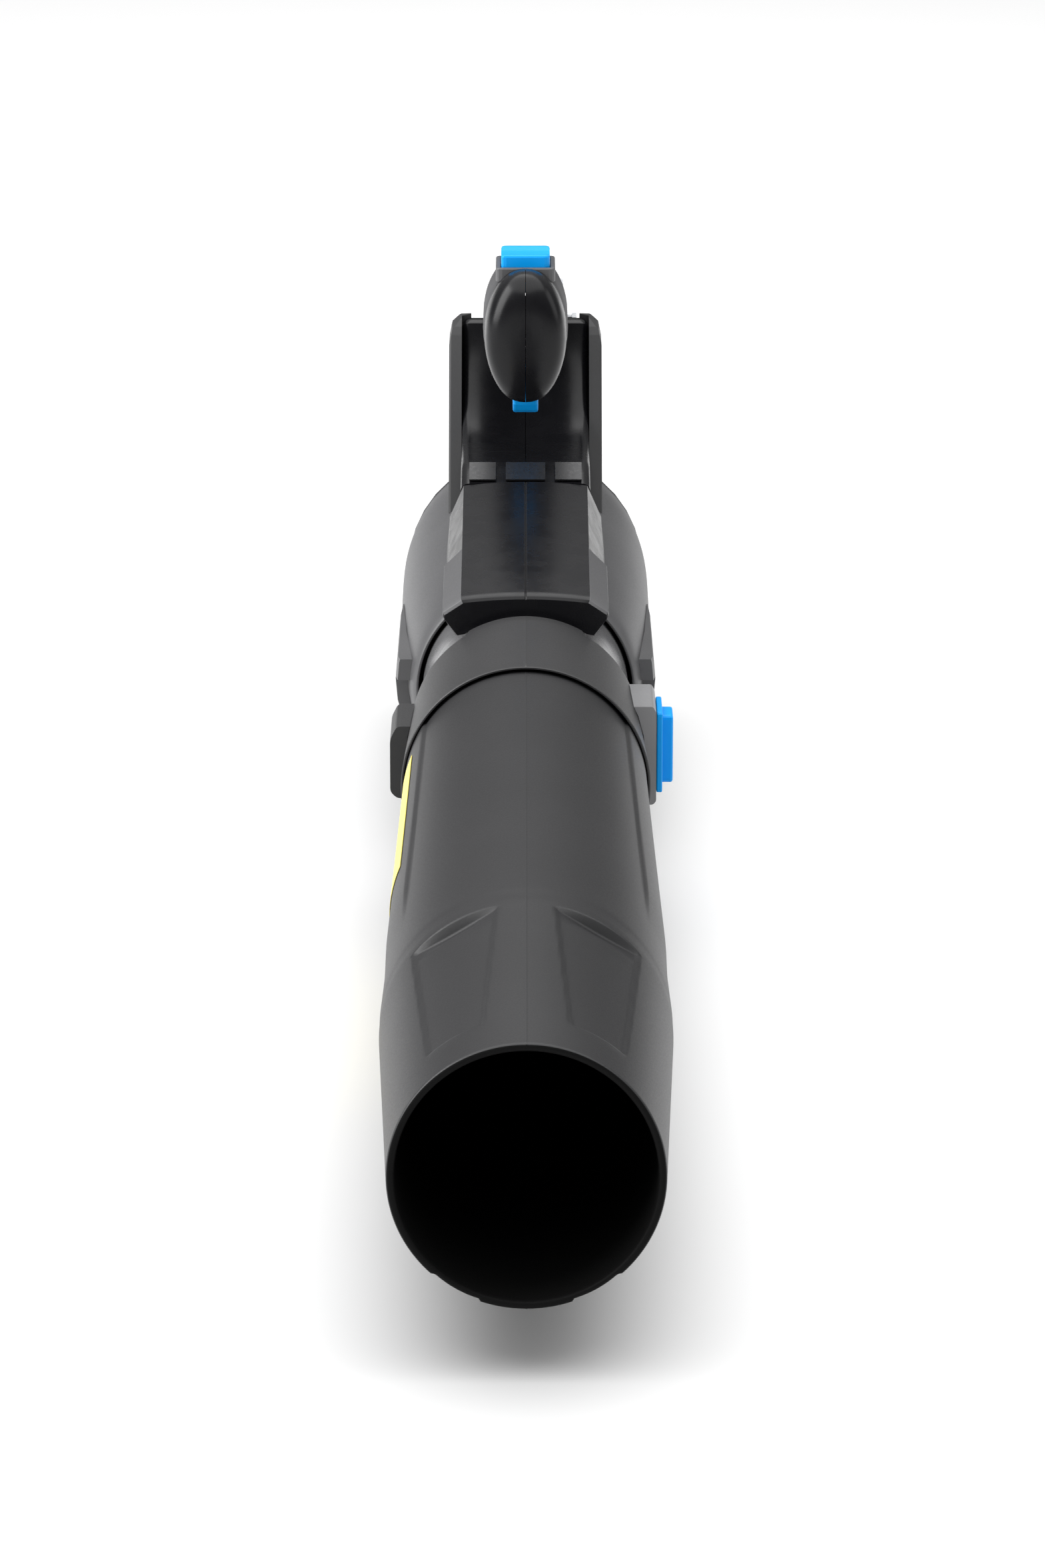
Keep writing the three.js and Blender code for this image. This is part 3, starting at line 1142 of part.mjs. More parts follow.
function standFoot() {
  const plan = rounded([
    [-FOOT_WIDTH / 2, FOOT_FRONT, 12], [FOOT_WIDTH / 2, FOOT_FRONT, 12],
    [FOOT_WIDTH / 2, FOOT_FRONT + FOOT_LENGTH, 12], [-FOOT_WIDTH / 2, FOOT_FRONT + FOOT_LENGTH, 12],
  ]);
  const block = fromAbove(plan, footBottom, -BARREL_RADIUS + 18, 2);
  const bays = [-1, 0, 1].map((i) => slab(
    FOOT_WIDTH - 14, footMiddle + (i - 0.4) * bayPitch, footMiddle + (i + 0.4) * bayPitch, footBottom + 6, 0,
  ));
  const holes = footScrews.flatMap(([x, y]) => [
    rod('z', HEAD_RADIUS + GAP, -FAR, footBottom + HEAD_SINK, [x, y], 8),
    rod('z', THREAD_RADIUS + GAP, -FAR, 0, [x, y], 8),
  ]);
  return cut(block, ...bays, barrelCore(GAP), ...holes);
}

function footScrew([x, y]) {
  const seat = footBottom + HEAD_SINK;
  const head = rod('z', HEAD_RADIUS, seat - 2.6, seat - 0.4, [x, y], 8);
  const thread = rod('z', THREAD_RADIUS, seat - 1.5, -BARREL_RADIUS + 7, [x, y], 8);
  const slot = box(x - 2, x + 2, y - 0.4, y + 0.4, -FAR, seat - 1.7);
  return cut(join(head, thread), slot);
}

function footPad() {
  const plan = rounded([
    [-padHalf.x, footMiddle - padHalf.y, 8], [padHalf.x, footMiddle - padHalf.y, 8],
    [padHalf.x, footMiddle + padHalf.y, 8], [-padHalf.x, footMiddle + padHalf.y, 8],
  ]);
  return fromAbove(plan, -AXIS_HEIGHT, -AXIS_HEIGHT + PAD_THICKNESS, 0.6);
}

// Blank plates on the sloping band in front of the saddle.
function bandPlate(x, width) {
  const slope = Math.atan2(SADDLE_BAND, SADDLE_BAND_LENGTH);
  return slab(width, 1.5, 18, 0.3 + GAP, 1.1 + GAP)
    .rotate([THREE.MathUtils.radToDeg(slope), 0, 0])
    .translate([x, saddleFront, saddleTop - SADDLE_BAND]);
}

// ---------- Assembly ----------

piece(blower, 'blower_tube', 'tube', blowerTube());
piece(blower, 'side_sticker', 'yellow', sideSticker());
piece(blower, 'tube_collar', 'matte', tubeCollar());
piece(blower, 'latch_housing', 'grey', latchHousing());
piece(blower, 'collar_side_block', 'rubber', sideBlock());
piece(blower, 'release_button', 'blue', releaseButton());
piece(blower, 'release_spring', 'steel', releaseSpring());
piece(blower, 'outlet_neck', 'gloss', outletNeck());

piece(head, 'barrel_left', 'matte', leftHalf(barrel()));
piece(head, 'barrel_right', 'matte', rightHalf(barrel()));
piece(head, 'side_guard_left', 'grey', sideGuard(1));
piece(head, 'side_guard_right', 'grey', sideGuard(-1));
piece(head, 'hood_cover', 'gloss', hoodCover());
piece(head, 'intake_grille', 'matte', intakeGrille());
piece(head, 'fan_duct', 'matte', fanDuct());
piece(head, 'motor_housing', 'matte', motorHousing());
piece(head, 'tail_cone', 'matte', tailCone());
piece(head, 'motor_stator', 'copper', motorStator());
piece(head, 'motor_cap', 'matte', motorCap());
piece(head, 'motor_bearing_front', 'steel', bearing(motorFront));
piece(head, 'motor_bearing_rear', 'steel', bearing(motorRear - 7));
piece(head, 'motor_rotor', 'steel', rotorCore());
piece(head, 'motor_shaft', 'steel', motorShaft());
piece(head, 'fan_impeller', 'matte', fanImpeller());
piece(head, 'fan_spinner', 'matte', fanSpinner());

piece(head, 'handle_left', 'gloss', leftHalf(handle()));
piece(head, 'handle_right', 'gloss', rightHalf(handle()));
piece(head, 'grip_strip_left', 'rubber', gripStrip(1));
piece(head, 'grip_strip_right', 'rubber', gripStrip(-1));
piece(head, 'trigger', 'blue', trigger());
piece(head, 'trigger_pin', 'steel', triggerPin());
piece(head, 'trigger_spring', 'steel', triggerSpring());
piece(head, 'trigger_switch', 'rubber', triggerSwitch());
piece(head, 'speed_switch', 'rubber', speedSwitch());
piece(head, 'button_bezel', 'grey', buttonBezel());
piece(head, 'boost_button', 'blue', boostButton());
piece(head, 'boost_spring', 'steel', boostSpring());
piece(head, 'control_board', 'board', controlBoard());
piece(head, 'switch_lead', 'rubber', switchLead());
piece(head, 'rear_body_left', 'matte', leftHalf(rearBody()));
piece(head, 'rear_body_right', 'matte', rightHalf(rearBody()));
piece(head, 'terminal_block', 'rubber', terminalBlock());

piece(head, 'battery_lower', 'matte', batteryLower());
piece(head, 'battery_upper', 'matte', batteryUpper());
piece(head, 'battery_cells', 'steel', batteryCells());
piece(head, 'battery_latch', 'grey', batteryLatch());
piece(head, 'battery_latch_spring', 'steel', latchSpring());

piece(head, 'stand_foot', 'matte', standFoot());
piece(head, 'foot_pad', 'rubber', footPad());
piece(head, 'band_plate_middle', 'label', bandPlate(0, PLATE_WIDTH));
piece(head, 'band_plate_left', 'rubber', bandPlate(SIDE_PLATE_OFFSET, SIDE_PLATE_WIDTH));
piece(head, 'band_plate_right', 'rubber', bandPlate(-SIDE_PLATE_OFFSET, SIDE_PLATE_WIDTH));
screwPlaces.forEach((place, i) => piece(head, `handle_screw_${i + 1}`, 'steel', screw(...place)));
piece(head, 'body_screw', 'steel', screw(...bodyScrewPlace));
footScrews.forEach((place, i) => piece(head, `foot_screw_${i + 1}`, 'steel', footScrew(place)));

export default blower;
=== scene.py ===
"""Cordless axial leaf blower: the looks of every piece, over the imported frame.

Sizes are in millimetres in the air-axis frame: x across, back from the mouth along the air axis,
and up from that axis. spot() turns them into the row frame, in metres.
"""
import json
import math

import bmesh
import bpy
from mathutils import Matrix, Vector


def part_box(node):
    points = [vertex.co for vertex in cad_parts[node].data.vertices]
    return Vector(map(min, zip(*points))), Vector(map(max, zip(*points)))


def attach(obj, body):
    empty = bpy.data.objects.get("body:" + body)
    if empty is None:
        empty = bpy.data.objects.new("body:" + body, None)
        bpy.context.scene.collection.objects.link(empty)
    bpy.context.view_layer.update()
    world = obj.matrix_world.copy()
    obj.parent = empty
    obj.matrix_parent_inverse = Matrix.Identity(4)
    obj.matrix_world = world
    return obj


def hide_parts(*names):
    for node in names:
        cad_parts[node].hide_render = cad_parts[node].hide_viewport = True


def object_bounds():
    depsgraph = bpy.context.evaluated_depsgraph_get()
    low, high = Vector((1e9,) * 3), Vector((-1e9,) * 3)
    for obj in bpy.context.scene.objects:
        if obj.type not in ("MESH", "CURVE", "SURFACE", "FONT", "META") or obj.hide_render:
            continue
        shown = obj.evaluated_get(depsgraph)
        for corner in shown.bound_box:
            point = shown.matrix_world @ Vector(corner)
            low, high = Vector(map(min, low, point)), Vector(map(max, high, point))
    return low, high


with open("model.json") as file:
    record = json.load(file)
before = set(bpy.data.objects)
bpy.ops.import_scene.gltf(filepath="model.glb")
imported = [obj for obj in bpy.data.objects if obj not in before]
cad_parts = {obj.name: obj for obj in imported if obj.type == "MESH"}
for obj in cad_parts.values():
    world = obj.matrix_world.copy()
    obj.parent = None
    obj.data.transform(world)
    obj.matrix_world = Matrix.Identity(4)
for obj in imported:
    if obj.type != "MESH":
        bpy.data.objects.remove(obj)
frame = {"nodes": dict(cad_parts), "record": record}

CAD_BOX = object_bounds()
MM = 0.001

tube_low, tube_high = (Vector(corner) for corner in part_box("blower_tube"))
MOUTH_Y = tube_low.y
AXIS_Z = (tube_low.z + tube_high.z) / 2
GROUND_Z = CAD_BOX[0][2]


def spot(across, back, up):
    """A place in the air-axis frame, in the row frame."""
    return Vector((across * MM, MOUTH_Y + back * MM, AXIS_Z + up * MM))


def node_box(node):
    """A CAD node's corners in the air-axis frame."""
    low, high = (Vector(corner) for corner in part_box(node))
    origin = Vector((0, MOUTH_Y, AXIS_Z))
    return (low - origin) / MM, (high - origin) / MM


# ---------- Driving dimensions, as in the CAD ----------

MOUTH_RADIUS = 50
RIDGE_RADIUS = 56.2
RIDGE_BACK = 160
TUBE_REACH = 494
TUBE_REAR_RADIUS = 51.6
TUBE_WALL = 3
SPIGOT_LENGTH = 78
KEYWAY_HALF_WIDTH = 7
SPIGOT_RADIUS = 48.2
RAIL_HALF_WIDTH = 28
RAIL_HEIGHT = 1
PANEL_FRONT = 26
PANEL_REAR = 148
PANEL_ANGLE = 31
PANEL_REACH = math.radians(30)   # no panel spreads further than this from its middle
PANEL_STEP = 0.9
PANEL_SCOOP = 2.4
COLLAR_REAR = 588
COLLAR_FRONT_RADIUS = 54.3
COLLAR_REAR_RADIUS = 51.2
COLLAR_LIP = 9.5
COLLAR_TAB_HALF_WIDTH = 26
COLLAR_TAB_LENGTH = 6
NECK_RADIUS = 47.2
NECK_BORE = 44.5
BARREL_FRONT = 654
BARREL_LENGTH = 226
BARREL_RADIUS = 59.6
BARREL_REAR_RADIUS = 58
HOOD_FRONT = 601
HOOD_REAR = 740
HOOD_SLOPE = math.radians(8.2)
HOOD_STEP = 0.44          # share of its length where the side facets step
HOOD_FLAT = 29
HOOD_EDGE = 37.3
HOOD_REAR_EDGE = 35.6
HOOD_CROWN = 1.8
HOOD_SEAM = 0.45
SADDLE_HALF_WIDTH = 30.5
STRIP_RISE = 0.7
STRIP_DEPTH = 1.2
BUTTON_TRAVEL = 3.4


# ---------- Mesh helpers ----------

def smooth_step(value):
    value = min(1.0, max(0.0, value))
    return value * value * (3 - 2 * value)


def mix(a, b, share):
    return a + (b - a) * share


def spread(start, stop, count):
    return [mix(start, stop, i / (count - 1)) for i in range(count)]


def make_piece(name, verts, faces, material, body, nodes, crease=30, bevel=0.0, segments=2):
    """A mesh piece, smooth-shaded up to the crease angle, that rides on a body and replaces CAD nodes."""
    mesh = bpy.data.meshes.new(name)
    mesh.from_pydata([tuple(v) for v in verts], [], faces)
    mesh.validate()
    shell = bmesh.new()
    shell.from_mesh(mesh)
    bmesh.ops.recalc_face_normals(shell, faces=shell.faces)
    shell.to_mesh(mesh)
    shell.free()
    mesh.materials.append(material)
    piece = bpy.data.objects.new(name, mesh)
    bpy.context.scene.collection.objects.link(piece)
    finish_edges(piece, crease, bevel, segments)
    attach(piece, body)
    if nodes:
        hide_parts(*nodes)
    return piece


def finish_edges(piece, crease=30, bevel=0.0, segments=2):
    """Round the sharp edges and keep the broad faces smooth."""
    mesh = piece.data
    for polygon in mesh.polygons:
        polygon.use_smooth = True
    mesh.set_sharp_from_angle(angle=math.radians(crease))
    if bevel > 0:
        rounding = piece.modifiers.new("rounding", "BEVEL")
        rounding.width = bevel * MM
        rounding.segments = segments
        rounding.limit_method = "ANGLE"
        rounding.angle_limit = math.radians(crease)
        rounding.harden_normals = True
        rounding.use_clamp_overlap = True


def loop_faces(rings, around, closed_along=False, closed_around=True, start=0):
    """Quads between rings of the same number of points."""
    faces = []
    last = rings if closed_along else rings - 1
    width = around if closed_around else around - 1
    for i in range(last):
        for j in range(width):
            here, there = start + i * around, start + ((i + 1) % rings) * around
            k = (j + 1) % around
            faces.append((here + j, here + k, there + k, there + j))
    return faces


def turned(name, rings, angles, material, body, nodes, whole=True, **edges):
    """A closed shell about the air axis. Each ring is (radius, back), or a function of the angle that gives
    them; the rings run once round the shell's section. A part turn is closed by a face at each end."""
    verts = []
    for angle in angles:
        for ring in rings:
            radius, back = ring(angle) if callable(ring) else ring
            verts.append(spot(radius * math.sin(angle), back, radius * math.cos(angle)))
    count = len(rings)
    faces = loop_faces(len(angles), count, closed_along=whole)
    if not whole:
        faces.append(tuple(range(count))[::-1])
        faces.append(tuple(range(len(verts) - count, len(verts))))
    return make_piece(name, verts, faces, material, body, nodes, **edges)


def lofted(name, sections, material, body, nodes, **edges):
    """Closed sections of row-frame points, joined and capped."""
    around = len(sections[0])
    verts = [point for section in sections for point in section]
    faces = loop_faces(len(sections), around)
    faces.append(tuple(range(around))[::-1])
    faces.append(tuple(range(len(verts) - around, len(verts))))
    return make_piece(name, verts, faces, material, body, nodes, **edges)


def full_turn(count, extra=()):
    """Angles round a full turn, with extra ones where a feature needs them."""
    angles = {round(2 * math.pi * i / count, 6) for i in range(count)}
    angles |= {round(angle % (2 * math.pi), 6) for angle in extra}
    kept = []
    for angle in sorted(angles):
        if not kept or angle - kept[-1] > 1e-4:
            kept.append(angle)
    return kept


def smooth_path(stations, steps):
    """Catmull-Rom values between rows of numbers."""
    rows = []
    for i in range(len(stations) - 1):
        a = stations[max(i - 1, 0)]
        b, c = stations[i], stations[i + 1]
        d = stations[min(i + 2, len(stations) - 1)]
        for k in range(steps):
            s = k / steps
            rows.append(tuple(
                0.5 * (2 * q + (r - p) * s + (2 * p - 5 * q + 4 * r - t) * s * s
                       + (3 * q - p - 3 * r + t) * s ** 3)
                for p, q, r, t in zip(a, b, c, d)
            ))
    rows.append(tuple(stations[-1]))
    return rows


# ---------- Materials ----------

def shader(name):
    material = bpy.data.materials.new(name)
    material.use_nodes = True
    nodes = material.node_tree.nodes
    return material, nodes, material.node_tree.links, nodes["Principled BSDF"]


def noise(nodes, links, coordinates, scale, detail=3.0, roughness=0.55):
    texture = nodes.new("ShaderNodeTexNoise")
    texture.inputs["Scale"].default_value = scale
    texture.inputs["Detail"].default_value = detail
    texture.inputs["Roughness"].default_value = roughness
    links.new(coordinates, texture.inputs["Vector"])
    return texture.outputs["Fac"]


def spanned(nodes, links, value, low, high):
    """A 0 to 1 value stretched to a range."""
    stretch = nodes.new("ShaderNodeMapRange")
    stretch.inputs["From Min"].default_value = 0.3
    stretch.inputs["From Max"].default_value = 0.7
    stretch.inputs["To Min"].default_value = low
    stretch.inputs["To Max"].default_value = high
    links.new(value, stretch.inputs["Value"])
    return stretch.outputs["Result"]


def moulded(name, colour, roughness, spread_by=0.08, grain=900.0, depth=0.00005, clouds=18.0, metal=0.0,
            coat=0.0, specular=0.5):
    """Moulded plastic, rubber or metal: cloudy colour, uneven sheen and a fine grain."""
    material, nodes, links, principled = shader(name)
    coordinates = nodes.new("ShaderNodeTexCoord").outputs["Object"]
    broad = noise(nodes, links, coordinates, clouds, detail=4.0)
    ramp = nodes.new("ShaderNodeValToRGB")
    ramp.color_ramp.elements[0].position = 0.3
    ramp.color_ramp.elements[1].position = 0.7
    ramp.color_ramp.elements[0].color = (*[c * (1 - spread_by) for c in colour], 1)
    ramp.color_ramp.elements[1].color = (*[min(1, c * (1 + spread_by)) for c in colour], 1)
    links.new(broad, ramp.inputs["Fac"])
    links.new(ramp.outputs["Color"], principled.inputs["Base Color"])
    fine = noise(nodes, links, coordinates, grain, detail=2.0)
    sheen = spanned(nodes, links, fine, roughness - 0.04, roughness + 0.04)
    links.new(sheen, principled.inputs["Roughness"])
    bump = nodes.new("ShaderNodeBump")
    bump.inputs["Strength"].default_value = 0.5
    bump.inputs["Distance"].default_value = depth
    links.new(fine, bump.inputs["Height"])
    links.new(bump.outputs["Normal"], principled.inputs["Normal"])
    principled.inputs["Metallic"].default_value = metal
    principled.inputs["Coat Weight"].default_value = coat
    principled.inputs["Specular IOR Level"].default_value = specular
    return material


TUBE = moulded("tube_plastic", (0.018, 0.018, 0.019), 0.46, spread_by=0.06, grain=1400, depth=0.00007,
               specular=0.35)
# The tube's own black plastic, darkened and dulled for the bore and the rim's front face: painted shade
# where they lie in shadow.
TUBE_INSIDE_PAINTED_SHADE = moulded("tube_inside_painted_shade", (0.004, 0.004, 0.004), 0.6, grain=1400, specular=0.08)
MATTE = moulded("matte_black", (0.025, 0.025, 0.026), 0.46, grain=1200, depth=0.00005, specular=0.4)
BARREL = moulded("barrel_plastic", (0.072, 0.072, 0.075), 0.45, grain=1200, depth=0.00005)
GREY = moulded("grey_plastic", (0.085, 0.085, 0.088), 0.42, grain=1200, depth=0.00005)
GLOSS = moulded("gloss_black", (0.005, 0.005, 0.006), 0.27, grain=90, depth=0.00002, clouds=10,
                specular=0.24)
# Lighter than the neck's plastic: partly its own dark grey, partly a painted reflection of the streaks on
# its gloss.
NECK_GREY_PAINTED_REFLECTION = moulded("neck_gloss_painted_reflection", (0.13, 0.13, 0.134), 0.20, spread_by=0.08, grain=120, depth=0.00003)
SOFT = moulded("soft_grip", (0.055, 0.055, 0.058), 0.62, grain=1600, depth=0.00008)
LATCH_GREY = moulded("latch_grey", (0.20, 0.20, 0.205), 0.40, grain=1200, depth=0.00005)
BLUE = moulded("blue_plastic", (0.001, 0.30, 0.78), 0.36, spread_by=0.05, grain=900, depth=0.00002,
               specular=0.18)
YELLOW = moulded("yellow_film", (0.80, 0.66, 0.10), 0.40, spread_by=0.05, grain=500, depth=0.00001)
LABEL = moulded("label_film", (0.42, 0.42, 0.43), 0.35, spread_by=0.05, grain=500, depth=0.00001)
DARK_LABEL = moulded("dark_label", (0.012, 0.012, 0.013), 0.30, spread_by=0.1, grain=500, depth=0.00001)
STEEL = moulded("steel", (0.55, 0.56, 0.58), 0.28, grain=1500, depth=0.00003, metal=1.0)
COPPER = moulded("copper", (0.60, 0.28, 0.12), 0.35, grain=1500, metal=1.0)
BOARD = moulded("board", (0.02, 0.12, 0.05), 0.40, grain=700)

CAD_FINISH = {
    "steel": STEEL, "copper": COPPER, "board": BOARD, "matte_black": MATTE, "gloss_black": GLOSS,
    "grey_plastic": GREY, "soft_grip": SOFT, "blue_plastic": BLUE, "yellow_film": YELLOW,
    "label_film": LABEL, "tube_plastic": TUBE,
}


# Pieces whose finish differs from their slot's.
OWN_FINISH = {
    "band_plate_middle": DARK_LABEL, "band_plate_left": DARK_LABEL, "band_plate_right": DARK_LABEL,
    "latch_housing": LATCH_GREY,
}

# Pieces with edges rounder than the common quarter of a millimetre.
SOFT_EDGES = {
    "boost_button": 1.3, "release_button": 0.8, "trigger": 0.8, "latch_housing": 0.8,
    "collar_side_block": 0.8, "battery_upper": 0.9, "battery_lower": 0.9, "button_bezel": 0.5,
}


def dress_cad_nodes():
    """Every CAD node that stays gets its slot's finish and rounded edges."""
    for subpart in frame["record"]["subparts"]:
        node = frame["nodes"][subpart["node"]]
        node.data.materials.clear()
        name = subpart["node"]
        finish = OWN_FINISH.get(name, CAD_FINISH[subpart["material_slot"]])
        node.data.materials.append(finish)
        segments = 3 if name in SOFT_EDGES else 2
        finish_edges(node, crease=32, bevel=SOFT_EDGES.get(name, 0.25), segments=segments)


# ---------- Blowing tube ----------

def tube_radius(back):
    if back < RIDGE_BACK:
        straight = mix(MOUTH_RADIUS, RIDGE_RADIUS, back / RIDGE_BACK)
    else:
        share = min(1.0, (back - RIDGE_BACK) / (TUBE_REACH - RIDGE_BACK))
        straight = mix(RIDGE_RADIUS, TUBE_REAR_RADIUS, share ** 0.8)
    return straight - 0.35 * math.exp(-((back - RIDGE_BACK) / 5.0) ** 2)


def panel_recess(back, angle, centre, front):
    """How far a nozzle panel lies below the tube: a step, a hollow middle and a scoop at the rear."""
    share = (back - PANEL_FRONT) / (PANEL_REAR - PANEL_FRONT)
    radius = tube_radius(back)
    off = (angle - centre + math.pi) % (2 * math.pi) - math.pi
    if abs(off) > PANEL_REACH:
        return 0.0
    half_width = mix(11.2, 18.4, share)
    across = abs(radius * math.sin(off)) / half_width
    scoop = PANEL_SCOOP * smooth_step((back - PANEL_REAR + 14) / 11) * max(0.0, 1 - across ** 2)
    depth = PANEL_STEP + 1.0 * max(0.0, 1 - across ** 2) * share + scoop
    side = smooth_step((1 - across) * half_width / 1.0 + 0.5)
    return depth * side * smooth_step((back - front) / 2.0) * smooth_step((PANEL_REAR - back) / 1.6)


def tube_skin(back, angle):
    """Outside radius of the tube with its bands, panels and mould line."""
    radius = tube_radius(back)
    height = abs(radius * math.cos(angle))
    band = smooth_step((RAIL_HALF_WIDTH - height) / 1.6 + 0.5) * smooth_step((back - 205) / 60)
    radius += RAIL_HEIGHT * band
    for centre, front in ((PANEL_ANGLE, PANEL_FRONT), (180 - PANEL_ANGLE, -4)):
        for side in (-1, 1):
            radius -= panel_recess(back, angle, side * math.radians(centre), front)
    seam = abs(radius * math.sin(angle))
    return radius + 0.10 * max(0.0, 1 - seam / 0.45)


def blower_tube():
    rim = tube_radius(0)
    rows = [2.0, 4.0, 8.0, 14.0, 20.0] + spread(25, 31, 5) + spread(34, 142, 37) + spread(144.5, 150, 8)
    rows += spread(152, 170, 10) + spread(174, 260, 20) + spread(268, TUBE_REACH - 4, 28)
    shoulder = TUBE_REACH + COLLAR_LIP - 0.4
    end = TUBE_REACH + SPIGOT_LENGTH
    rings = [lambda a: (tube_skin(0, a) - 1.1, 0.0), lambda a: (tube_skin(0, a) - 0.35, 0.25),
             lambda a: (tube_skin(0.9, a), 0.9)]
    rings += [lambda a, back=back: (tube_skin(back, a), back) for back in rows]
    rings += [lambda a: (tube_skin(shoulder, a), shoulder), (SPIGOT_RADIUS, shoulder), (SPIGOT_RADIUS, end)]
    inside = SPIGOT_RADIUS - TUBE_WALL
    rings += [(inside, end), (inside, TUBE_REACH)]
    rings += [(mix(inside, RIDGE_RADIUS - 2 * TUBE_WALL, share), mix(TUBE_REACH, RIDGE_BACK, share))
              for share in spread(0.15, 1, 8)]
    rings += [(mix(RIDGE_RADIUS - 2 * TUBE_WALL, rim - TUBE_WALL, share), mix(RIDGE_BACK, 2.0, share))
              for share in spread(0.03, 1, 8)]
    rings += [(rim - TUBE_WALL + 0.2, 0.7), (rim - TUBE_WALL + 0.8, 0.0)]
    fine = [side * math.radians(a) for a in (0.12, 0.3, 0.5, 0.8) for side in (-1, 1)]
    extra = [pole + a for pole in (0, math.pi) for a in fine]
    tube = turned("blower_tube_skin", rings, full_turn(300, extra), TUBE, "tube", ["blower_tube"], crease=50)
    # The bore and the rim's front face take the darker copy of the tube plastic: painted shade.
    tube.data.materials.append(TUBE_INSIDE_PAINTED_SHADE)
    for polygon in tube.data.polygons:
        middle = polygon.center
        outward = polygon.normal.x * middle.x + polygon.normal.z * (middle.z - AXIS_Z)
        if outward < 0 or middle.y < MOUTH_Y + 0.2 * MM:
            polygon.material_index = 1
    catch_front = node_box("release_button")[0].y
    cut_box(tube, spot(40, catch_front, -KEYWAY_HALF_WIDTH), spot(60, end + 2, KEYWAY_HALF_WIDTH))
    return tube


def side_sticker():
    low, high = node_box("side_sticker")
    angles = [-math.pi / 2 + math.asin(up / 54) for up in spread(low.z, high.z, 20)]
    rows = spread(low.y + 1, high.y - 1, 24)
    rings = [(tube_radius(b) + RAIL_HEIGHT + 0.42, b) for b in rows]
    rings += [(tube_radius(b) + RAIL_HEIGHT + 0.25, b) for b in rows[::-1]]
    return turned("side_sticker_film", rings, angles, YELLOW, "tube", ["side_sticker"], whole=False)


# ---------- Collar and neck ----------

def tube_collar():
    def taper(back):
        return mix(COLLAR_FRONT_RADIUS, COLLAR_REAR_RADIUS, (back - TUBE_REACH) / (COLLAR_REAR - TUBE_REACH))

    def rear_edge(angle):
        across = abs(COLLAR_REAR_RADIUS * math.sin(angle))
        if math.cos(angle) < 0:
            return COLLAR_REAR
        return COLLAR_REAR + COLLAR_TAB_LENGTH * smooth_step((COLLAR_TAB_HALF_WIDTH - across) / 1.5 + 0.5)

    lip_bore = TUBE_REAR_RADIUS + RAIL_HEIGHT + 0.4
    lip_end = TUBE_REACH + COLLAR_LIP
    bore = SPIGOT_RADIUS + 0.35

    def skin(back, angle):
        seam = abs(taper(back) * math.sin(angle))
        return taper(back) + 0.10 * max(0.0, 1 - seam / 0.45)

    rings = [(lip_bore, TUBE_REACH + 0.5), (lip_bore + 0.3, TUBE_REACH),
             lambda a: (skin(TUBE_REACH, a) - 0.4, TUBE_REACH),
             lambda a: (skin(TUBE_REACH, a), TUBE_REACH + 0.5)]
    rings += [lambda a, b=b: (skin(b, a), b) for b in spread(TUBE_REACH + 6, COLLAR_REAR - 3, 14)]
    rings += [lambda a: (taper(rear_edge(a)), rear_edge(a) - 0.8),
              lambda a: (taper(rear_edge(a)) - 0.7, rear_edge(a)), lambda a: (bore, rear_edge(a)),
              (bore, lip_end), (lip_bore, lip_end)]
    tab_edge = math.asin(COLLAR_TAB_HALF_WIDTH / COLLAR_REAR_RADIUS)
    extra = [side * (tab_edge + math.radians(a)) for side in (-1, 1) for a in (-1, -0.5, 0, 0.5, 1)]
    for pole in (0, math.pi):
        extra += [pole + side * math.radians(a) for side in (-1, 1) for a in (0.15, 0.5)]
    collar = turned(
        "tube_collar_ring", rings, full_turn(200, extra), MATTE, "blower", ["tube_collar"], crease=40,
    )
    pocket(collar, "release_button", 0.3, inward=BUTTON_TRAVEL)
    return collar


def outlet_neck():
    front = COLLAR_REAR - 10
    rings = [(NECK_BORE, front), (SPIGOT_RADIUS, front), (SPIGOT_RADIUS, COLLAR_REAR - 0.5),
             (NECK_RADIUS, COLLAR_REAR + 0.5)]
    rings += [(NECK_RADIUS - 0.5 * math.sin(math.pi * s), mix(COLLAR_REAR + 3, BARREL_FRONT - 4, s))
              for s in spread(0, 1, 12)]
    rings += [(NECK_RADIUS, BARREL_FRONT + 14), (NECK_BORE, BARREL_FRONT + 14)]
    return turned("outlet_neck_ring", rings, full_turn(200), NECK_GREY_PAINTED_REFLECTION, "blower", ["outlet_neck"], crease=40)


# ---------- Barrel ----------

# Radius, and how far back from the barrel's mouth.
BARREL_PROFILE = [
    (50.6, 0), (53.6, 12), (56.8, 60), (58.9, 110), (BARREL_RADIUS, 155), (BARREL_RADIUS, 200),
    (BARREL_REAR_RADIUS, BARREL_LENGTH),
]


def barrel_half(name, node, side):
    path = smooth_path(BARREL_PROFILE, 8)
    rings = [(49.2, 0.4), (49.6, 0.0), (50.2, 0.0)] + path[1:]
    rings += [(radius - 2.6, back) for radius, back in path[::-1][:-4]]
    rings = [(radius, BARREL_FRONT + back) for radius, back in rings]
    slip = 0.12 / BARREL_RADIUS
    angles = [side * a for a in spread(slip, math.pi - slip, 110)]
    return turned(name, rings, angles[::side], BARREL, "blower", [node], whole=False, crease=40)


# ---------- Hood ----------

def hood_top(back):
    return 56.5 + math.tan(HOOD_SLOPE) * (back - HOOD_FRONT)


